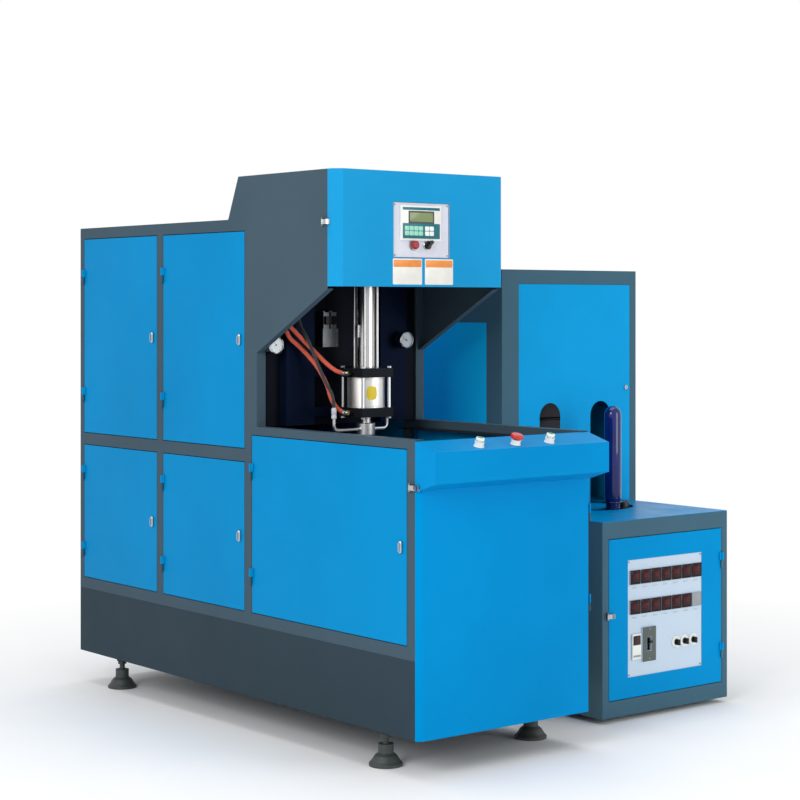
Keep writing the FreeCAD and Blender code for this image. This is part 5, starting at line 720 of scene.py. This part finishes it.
def nose_buttons():
    """White collars round the three buttons, and green caps on the two start buttons."""
    top, bore, skin = COLLAR_HEIGHT, 11.0, 15.2
    collar = [(skin, 0.0), (18.5, 0.0), (18.5, 2.0), (16.2, 3.2), (16.2, top - 2.0), (17.0, top - 1.4),
              (17.0, top), (16.4, top + 0.6), (bore, top + 0.6), (bore, top + 0.2), (skin, top + 0.2),
              (skin, 0.0)]
    for name, x in BUTTONS.items():
        lathe("collar_" + name, collar, *nose_point(x), "white_button", "front_panel", slot="white_button")
    for name in ("left", "right"):
        lathe("cap_" + name, [(0.0, -0.4), (10.5, -0.4), (10.5, 0.0), (9.5, 0.3), (0.0, 0.3)],
              *nose_point(BUTTONS[name], top + BUTTON_TRAVEL + BUTTON_HEIGHT), "green_cap",
              "start_button_" + name)


# ---- blow station: barrel, rods, label, hoses ------------------------
def station_dress():
    """Bright sleeves over the barrel and the corner rods, and the nuts of the rods."""
    low, high, rod = 0.2, BARREL_LONG - 0.2, CORNER_ROD_RADIUS
    inside, sleeve, lip = BARREL_RADIUS, BARREL_RADIUS + 0.6, BARREL_RADIUS + 1.5
    profile = [(inside, low), (lip, low), (lip, 5.0), (sleeve, 6.0), (sleeve, BARREL_LONG - 6.0),
               (lip, BARREL_LONG - 5.0), (lip, high), (inside, high)]
    lathe("barrel_sleeve", profile, spot(MID_X, STATION_Y, BARREL_LOW), UP, "satin_steel", "root", 96,
          "polished_tube")
    skin = [(rod - 0.5, low), (rod, low), (rod, high), (rod - 0.5, high)]
    for side, sx in (("l", -1), ("r", 1)):
        for end, sy in (("f", -1), ("b", 1)):
            x, y, tag = MID_X + sx * CORNER_ROD_PITCH, STATION_Y + sy * CORNER_ROD_PITCH, side + end
            lathe("rod_" + tag, skin, spot(x, y, BARREL_LOW), UP, "chrome", "root", 20, "chrome")
            hex_nut("nut_top_" + tag, 15.0, 8.0, spot(x, y, BARREL_HIGH + PLATE_THICK), UP, "zinc", "root")
            hex_nut("nut_low_" + tag, 15.0, 7.0, spot(x, y, LOWER_PLATE), DOWN, "zinc", "root")
    barrel_label(middle=-109.0, half_angle=17.0, z_middle=1251.0, half_height=25.0)


def barrel_label(middle, half_angle, z_middle, half_height, columns=14, rows=10):
    """Blank sticker with round corners on the barrel, laid over it in strips; its ends stay 0.35 as high."""
    bm = bmesh.new()
    grid = []
    for k in range(columns + 1):
        across = -1.0 + 2.0 * k / columns
        reach = half_height * ((1.0 - abs(across) ** 5) ** 0.4 if abs(across) < 1.0 else 0.35)
        a = math.radians(middle + half_angle * across)
        outward = Vector((math.cos(a), math.sin(a), 0.0)) * (BARREL_RADIUS + 1.0) / 1000.0
        heights = [z_middle + reach * (2.0 * n / rows - 1.0) for n in range(rows + 1)]
        grid.append([bm.verts.new(spot(MID_X, STATION_Y, z) + outward) for z in heights])
    for low, high in zip(grid, grid[1:]):
        for n in range(rows):
            bm.faces.new((low[n], high[n], high[n + 1], low[n + 1]))
    put("barrel_label", bm, "yellow_film", "root")


def hoses():
    """Two woven red hoses with crimped ends, and the black one that follows the nozzle."""
    crimp = [(8.2, -26.0), (9.6, -25.0), (9.6, -17.0), (9.0, -16.0), (9.6, -15.0), (9.6, -6.0), (8.4, -5.0),
             (7.0, 2.0)]
    for name in ("upper", "lower"):
        path = smooth_line("hose_" + name, ROUTES[name])
        tube_along("hose_" + name, path, HOSE_RADIUS, "red_hose", "root")
        for end, (at, before) in enumerate(((path[0], path[1]), (path[-1], path[-2]))):
            out = (at - before).normalized()
            lathe("crimp_%s_%d" % (name, end), crimp, at, out, "zinc", "root", 24)
            hex_nut("union_%s_%d" % (name, end), 17.0, 9.0, at - out * 0.004, out, "brass", "root")
    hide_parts("red_air_hoses")
    black = tube_along("hose_black", smooth_line("hose_black", ROUTES["black"]), BLACK_HOSE_RADIUS,
                       "black_hose")
    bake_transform(black)
    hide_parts("black_air_hose")
    lathe("ferrule", [(0, 0), (7.5, 0), (9.8, 2.5), (9.8, 12.0), (8.6, 14.0), (8.6, 18.0), (9.8, 20.0),
                      (9.8, 36.0), (7.2, FERRULE_LONG), (0, FERRULE_LONG)],
          spot(*FERRULE_AT, FERRULE_FOOT), UP, "white_plate", "blow_nozzle", 32)


# ---- station wall: gauges and valve unit -----------------------------
def hand_shape(angle, outline):
    """Flat outline in (along, across) millimetres, turned to an angle on a dial that faces the operator."""
    a = math.radians(angle)
    along, across = Vector((math.cos(a), 0, math.sin(a))), Vector((-math.sin(a), 0, math.cos(a)))
    return [(along * r + across * w) / 1000.0 for r, w in outline]


def gauges():
    """Dial, ticks, needle, hub, glass and rim of the two gauges, each so far behind the rim's front."""
    for tag, place in GAUGES.items():
        def behind(depth):
            return spot(*place) + Vector((0, depth / 1000.0, 0))
        rim = DIAL_RADIUS
        lathe("dial_" + tag, [(0, 0), (rim, 0), (rim, 0.8), (0, 0.8)], behind(4.8), FRONT, "dial_white",
              "root")
        bm = bmesh.new()
        for k in range(TICK_COUNT):
            tip, reach, half = (26.5, 6.0, 0.5) if k % 5 == 0 else (26.5, 3.2, 0.25)
            tick = hand_shape(TICKS_FROM + (TICKS_TO - TICKS_FROM) * k / (TICK_COUNT - 1),
                              ((tip, -half), (tip, half), (tip - reach, half), (tip - reach, -half)))
            bm.faces.new([bm.verts.new(behind(3.8) + c) for c in tick])
        put("ticks_" + tag, bm, "black_film", "root")
        bm = bmesh.new()
        needle = hand_shape(NEEDLE_AT, ((-7.0, 1.4), (-7.0, -1.4), (22.0, -0.3), (22.0, 0.3)))
        rings = [[bm.verts.new(behind(depth) + c) for c in needle] for depth in (2.6, 3.2)]
        join_rings(bm, rings)
        cap_ends(bm, rings)
        put("needle_" + tag, bm, "black_film", "root")
        lathe("hub_" + tag, [(0, 0), (3.2, 0), (3.2, 2.0), (2.4, 2.8), (0, 2.8)], behind(4.2), FRONT,
              "black_film", "root", 20)
        lathe("glass_" + tag, [(0, 0), (29.0, 0), (29.0, 1.0), (0, 1.4)], behind(1.6), FRONT, "glass",
              "root")
        lathe("rim_" + tag, [(rim, 0.2), (rim, -1.8), (30.4, -2.6), (32.4, -1.6), (33.6, 0.6), (33.6, 6.0),
                             (32.9, 7.0), (32.9, 0.2)], behind(0.0), (0, 1, 0), "chrome", "root")


def valve_dress():
    """Screws, coil plugs and nuts on the valve unit."""
    for k, (x, z) in enumerate(VALVE_SCREWS):
        pan_screw("valve_screw_%d%d" % divmod(k, 2), 3.4, spot(x, VALVE_FACE, z), "root")
    for k, (x0, x1) in enumerate(VALVE_COILS):
        small_block("coil_plug_%d" % k, spot, (x0 + 3.0, x1 - 3.0), COIL_PLUG_Y, COIL_PLUG_Z, "black_film",
                    "root", 1.6)
        lathe("coil_nut_%d" % k, [(0, 0), (7.0, 0), (7.0, 5.0), (5.6, 6.2), (0, 6.2)],
              spot((x0 + x1) / 2, COIL_NUT_Y, COIL_NUT_Z), UP, "zinc", "root", 6)


# ---- doors and frame: latches, feet, rail ends -----------------------
def door_latches():
    """Pressed oval shell over each quarter-turn handle: a dome that faces left, in rings to near its top."""
    rise, steps, steepest = 5.0, 6, math.radians(84.0)
    for name, (y, z) in LATCHES.items():
        bm = bmesh.new()
        rings = []
        for k in range(steps + 1):
            a = steepest * k / steps
            wide = LATCH_HALF_WIDE * math.cos(a)
            long = LATCH_HALF_LONG - LATCH_HALF_WIDE * (1.0 - math.cos(a))
            outline = rounded_outline((-wide, wide, -long, long), wide * 0.999, 8)
            rings.append([bm.verts.new(spot(LATCH_FACE + 0.4 - rise * math.sin(a), y + u, z + v))
                          for u, v in outline])
        join_rings(bm, rings)
        cap_ends(bm, rings)
        put("shell_" + name, bm, "chrome", name, sharp=50.0)


def toggle_dress():
    """Plated skins, rivets and a finger roll on the three toggle latches.

    Each latch has its own frame: u along the flap, w out from the sheet, v up, all from its pin.
    """
    for tag, (pin_x, pin_y, pin_z), facing_left, base, flap, catch, foot in TOGGLES:
        def place(u, w, v):
            if facing_left:
                return spot(pin_x - w, pin_y - u, pin_z + v)
            return spot(pin_x + u, pin_y - w, pin_z + v)
        small_block("base_" + tag, place, (-foot, -6.6), (0.0, 3.6), (-13.3, 13.3), "zinc", base, 0.5)
        for side in (-1, 1):
            ear = sorted((side * 8.95, side * 13.4))
            small_block("ear_%s_%d" % (tag, side), place, (-6.6, 8.3), (0.0, 3.4), ear, "zinc", base, 0.4)
            small_block("lug_%s_%d" % (tag, side), place, (-4.4, 4.4), (3.0, 13.5), ear, "zinc", base, 0.8)
            lathe("pin_end_%s_%d" % (tag, side), [(0, 0), (3.2, 0), (3.2, 0.5), (2.2, 1.3), (0, 1.5)],
                  place(0.0, 9.0, side * 13.4), (0, 0, side), "zinc", base, 20)
            if foot > RIVETED_FOOT:
                lathe("rivet_%s_%d" % (tag, side), [(0, 0), (2.4, 0), (2.0, 0.9), (1.0, 1.5), (0, 1.7)],
                      place(4.2 - foot, 3.6, side * 8.0), LEFT if facing_left else FRONT, "zinc", base, 20)
        small_block("catch_" + tag, place, STRIKE_SPAN[tag], (0.0, 5.3), (-9.3, 9.3), "zinc", catch, 0.8)
        small_block("finger_roll_" + tag, place, (25.8, 30.3), (16.2, 18.4), (-8.3, 8.3), "chrome", flap,
                    0.9)


def feet_dress():
    """Jam nut and washer on each levelling foot's stud, under the plinth."""
    washer = [(11.2, 0), (22.0, 0), (22.0, WASHER_THICK), (11.2, WASHER_THICK), (11.2, 0)]
    for k, (x, y) in enumerate(FEET):
        hex_nut("jam_nut_%d" % k, 34.0, 13.0, spot(x, y, JAM_NUT_TOP - WASHER_THICK), DOWN, "foot_iron",
                "root")
        lathe("washer_%d" % k, washer, spot(x, y, JAM_NUT_TOP), DOWN, "foot_iron", "root", 32)


def tube_plugs():
    """Black plastic plugs in the open rear ends of the side rails."""
    for k, (x, z0, z1) in enumerate((x, *span) for x in RAIL_SIDES for span in RAIL_ENDS):
        rail = (x, x + RAIL_WIDE, z0, z1)
        for name, inset, out, thick, radius, edge in (("plug", 0.5, 2.2, 2.0, 3.0, 1.2),
                                                      ("plug_body", 3.0, 0.3, 12.0, 2.0, 0.3)):
            front_plate("%s_%d" % (name, k), grown(rail, -inset), REAR_PLANE + out, thick, "black_film",
                        "root", radius, edge, back=-1.0)


# ---- heater: meter plate, island, preform ----------------------------
SEGMENTS = {"0": "abcdef", "1": "bc", "2": "abged", "3": "abgcd", "4": "fgbc", "5": "afgcd", "6": "afgedc",
            "7": "abc", "8": "abcdefg", "9": "abcdfg"}


def digit_faces(bm, digit, x, z, width, height, face, bar=0.9):
    """Flat seven-segment figure with bars of that width."""
    low, middle, high, right = z, z + height / 2, z + height, x + width
    places = {"a": (x, right, high - bar, high), "g": (x, right, middle - bar / 2, middle + bar / 2),
              "d": (x, right, low, low + bar), "f": (x, x + bar, middle, high),
              "b": (right - bar, right, middle, high), "e": (x, x + bar, low, middle),
              "c": (right - bar, right, low, middle)}
    for key in SEGMENTS[digit]:
        x0, x1, z0, z1 = places[key]
        outline = ((x0, z0), (x1, z0), (x1, z1), (x0, z1))
        bm.faces.new([bm.verts.new(spot(px, face, pz)) for px, pz in outline])


def meter_modules():
    """Two rows of meters with dark windows, figures and a bare caption strip; the last place is blank."""
    door = "box_door"
    digits = bmesh.new()
    for row, z in enumerate(MODULE_ROWS):
        for k in range(MODULES_IN_ROW):
            x = MODULE_FIRST + MODULE_PITCH * k
            tag = "%d_%d" % (row, k)
            blank = row == 1 and k == MODULES_IN_ROW - 1
            rim, pane = ("grey_frame", "grey_frame") if blank else ("maroon_frame", "dark_red")
            outside = (x, x + MODULE_SIZE, z, z + MODULE_SIZE)
            opening = (x + 3.6, x + 50.4, z + 8.0, z + 49.5)
            strip = (x + 14.0, x + 40.0, z - 16.0, z - 11.0)
            front_frame("module_" + tag, outside, opening, MODULE_FACE - 1.0, 2.6, rim, door, 1.5)
            front_plate("window_" + tag, grown(opening, 0.2), MODULE_FACE - 0.4, 0.3, pane, door, 1.0, 0.3)
            front_plate("mark_" + tag, strip, METER_FACE - 0.35, 0.3, "pale_grey", door, 1.0, 0.1)
            if blank:
                continue
            for n, digit in enumerate("%03d" % (178 + (row * MODULES_IN_ROW + k) * 7 % 60)):
                digit_faces(digits, digit, x + 11.0 + 11.5 * n, z + 23.0, 8.0, 15.0, MODULE_FACE - 0.45)
    put("module_digits", digits, "segment_red", door)


def thermostat():
    """White controller with two lines of figures over four keys."""
    door, face = "box_door", THERMOSTAT_FACE
    x0, x1, z0, z1 = THERMOSTAT_BOX
    front_plate("thermostat_case", THERMOSTAT_BOX, face - 2.0, 2.0, "white_key", door, 3.0, 1.0)
    front_plate("thermostat_display", (x0 + 4.0, x1 - 4.0, z1 - 42.0, z1 - 6.0), face - 2.6, 0.8,
                "black_film", door, 2.0, 0.3)
    digits = bmesh.new()
    for n, digit in enumerate("105"):
        digit_faces(digits, digit, x0 + 11.0 + 10.0 * n, z1 - 24.0, 6.5, 12.0, face - 2.75)
        digit_faces(digits, digit, x0 + 13.0 + 9.0 * n, z1 - 38.0, 5.0, 9.0, face - 2.75)
    put("thermostat_digits", digits, "segment_red", door)
    for n in range(4):
        left = x0 + 5.0 + 10.2 * n
        key = (left, left + 8.0, z0 + 8.0, z0 + 16.0)
        front_plate("thermostat_key_%d" % n, key, face - 3.2, 1.4, "grey_frame", door, 1.5, 0.4)


def meter_dress():
    """What the meter plate carries: meters, thermostat, breaker plate, rings of the knobs, screws."""
    door = "box_door"
    meter_modules()
    thermostat()
    front_frame("breaker_plate", BREAKER_BOX, BREAKER_SLOT, BREAKER_FACE, 1.2, "breaker_grey", door, 2.5)
    x0, x1, z0, z1 = BREAKER_BOX
    for n, z in enumerate((z0 + 10.0, z1 - 10.0)):
        pan_screw("breaker_screw_%d" % n, 3.2, spot((x0 + x1) / 2, BREAKER_FACE, z), door)
    ring = [(12.2, 0), (23.0, 0), (23.0, 3.6), (21.0, 5.6), (13.2, 5.6), (12.2, 4.8), (12.2, 0)]
    for n, x in enumerate(KNOBS_X):
        lathe("knob_ring_%d" % n, ring, spot(x, METER_FACE, KNOBS_Z), FRONT, "white_key", door, 40)
    for n, (x, z) in enumerate(corners(METER_SCREWS_BOX)):
        pan_screw("meter_screw_%d" % n, 3.6, spot(x, METER_FACE, z), door)


def heater_dress():
    """Painted top of the round island in the table's opening, which turns with the mandrels."""
    r = ISLAND_RADIUS
    lathe("island_top", [(0, 0), (r - 0.6, 0), (r, 0.6), (r, 4.6), (r - 0.8, 5.6), (0, 5.9)],
          spot(TURN_X, TURN_Y, TABLE_TOP - ISLAND_SUNK), UP, "blue_paint", "turntable", 96, "blue_paint")


def dome(radius, base):
    """Quarter circle in 12 steps as (radius, height), from just over the base to just under the top."""
    angles = [k * math.pi / 24 for k in range(1, 12)]
    return [(radius * math.cos(a), base + radius * math.sin(a)) for a in angles]


def preform():
    """Smooth preform: threaded neck down, support ring, long body, round end."""
    r, neck, top = PREFORM_RADIUS, NECK_RADIUS, PREFORM_TOP - PREFORM_FOOT
    outer = [(neck, 0.0)]
    for z in (6.0, 13.0, 20.0):
        outer += [(neck, z), (neck + 1.0, z + 0.8), (neck + 1.8, z + 1.8), (neck + 1.8, z + 2.8),
                  (neck + 1.0, z + 3.8), (neck, z + 4.6)]
    outer += [(neck, 29.6), (neck + 0.6, 30.0), (36.4, 30.0), (37.0, 30.8), (37.0, 33.4), (36.2, 34.2),
              (31.0, 35.0), (31.6, 37.0), (32.8, 40.0), (33.6, 44.0), (r, 50.0), (r, top - r)]
    outer += dome(r, top - r) + [(0.0, top)]
    q = r - PREFORM_WALL
    inner = [(neck - PREFORM_WALL, 0.0), (neck - PREFORM_WALL, 35.0), (q, 64.0), (q, top - r)]
    inner += dome(q, top - r) + [(0.0, top - PREFORM_WALL)]
    foot = spot(TURN_X, TURN_Y - MANDREL_CIRCLE, PREFORM_FOOT)
    piece = lathe("preform_body", inner[::-1] + outer, foot, UP, "preform_pet", "turntable", 96,
                  "preform_pet", 50.0)
    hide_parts("preform")


# ---- floor, lamps, camera --------------------------------------------
def background_rays(tree):
    """1 for rays that show the background: straight ones, mirrored ones and those through glass."""
    path = tree.nodes.new("ShaderNodeLightPath")
    seen = path.outputs["Is Camera Ray"]
    for kind in ("Is Glossy Ray", "Is Transmission Ray"):
        either = tree.nodes.new("ShaderNodeMath")
        either.operation = "MAXIMUM"
        tree.links.new(seen, either.inputs[0])
        tree.links.new(path.outputs[kind], either.inputs[1])
        seen = either.outputs[0]
    return seen


def floor():
    """Pale round floor that fades into the white surroundings."""
    bm = bmesh.new()
    bmesh.ops.create_circle(bm, cap_ends=True, radius=FLOOR_RADIUS, segments=96)
    bmesh.ops.translate(bm, verts=bm.verts[:], vec=(0, 0, -FLOOR_DROP))
    mesh = bpy.data.meshes.new("floor")
    bm.to_mesh(mesh)
    bm.free()
    ground = add_object("floor", mesh)
    f = Finish("floor_pale", roughness=0.7)
    f.colour(f.blend(f.spread(f.noise(3.0), 0.3, 0.7), (0.93, 0.932, 0.935, 1.0), (0.96, 0.96, 0.96, 1.0)))
    length = f.add("ShaderNodeVectorMath", operation="LENGTH")
    f.link(f.where, length.inputs[0])
    away = f.spread(length.outputs["Value"], *FLOOR_FADE)
    glow = f.add("ShaderNodeEmission")
    mix = f.add("ShaderNodeMixShader")
    f.link(f.math("MULTIPLY", away, background_rays(f.tree)), mix.inputs[0])
    f.link(f.shader.outputs[0], mix.inputs[1])
    f.link(glow.outputs[0], mix.inputs[2])
    f.link(mix.outputs[0], f.out.inputs[0])
    mesh.materials.append(f.material)


def softbox(name, place, target, size, power):
    """Rectangular lamp at a place, turned to a target."""
    lamp = bpy.data.lights.new(name, "AREA")
    lamp.shape = "RECTANGLE"
    lamp.size, lamp.size_y = size
    lamp.energy = power
    holder = add_object(name, lamp)
    holder.location = place
    holder.rotation_euler = (Vector(target) - Vector(place)).to_track_quat("-Z", "Y").to_euler()


def surroundings():
    """White background that lights the object at a plain level, and three soft lamps."""
    world = bpy.data.worlds.new("studio")
    bpy.context.scene.world = world
    world.use_nodes = True
    tree = world.node_tree
    tree.nodes.clear()
    out = tree.nodes.new("ShaderNodeOutputWorld")
    light = tree.nodes.new("ShaderNodeBackground")
    light.inputs["Color"].default_value = (0.97, 0.985, 1.0, 1.0)
    light.inputs["Strength"].default_value = WORLD_STRENGTH
    white = tree.nodes.new("ShaderNodeBackground")
    white.inputs["Color"].default_value = (1, 1, 1, 1)
    mix = tree.nodes.new("ShaderNodeMixShader")
    tree.links.new(background_rays(tree), mix.inputs[0])
    tree.links.new(light.outputs[0], mix.inputs[1])
    tree.links.new(white.outputs[0], mix.inputs[2])
    tree.links.new(mix.outputs[0], out.inputs[0])
    for name, (place, target, size, power) in SOFTBOXES.items():
        softbox(name, place, target, size, power)


def camera():
    """Camera of the photograph."""
    data = bpy.data.cameras.new("camera")
    data.lens = LENS
    data.sensor_width = SENSOR
    data.shift_y = SHIFT_Y
    holder = add_object("camera", data)
    holder.location = CAMERA_AT
    holder.rotation_euler = CAMERA_LOOKS.to_track_quat("-Z", "Y").to_euler()
    bpy.context.scene.camera = holder


def main():
    camera()
    finish_nodes()
    control_panel()
    nose_buttons()
    station_dress()
    hoses()
    gauges()
    meter_dress()
    preform()
    heater_dress()
    door_latches()
    toggle_dress()
    valve_dress()
    feet_dress()
    tube_plugs()
    floor()
    surroundings()
    bpy.context.scene.view_settings.view_transform = "Standard"


main()
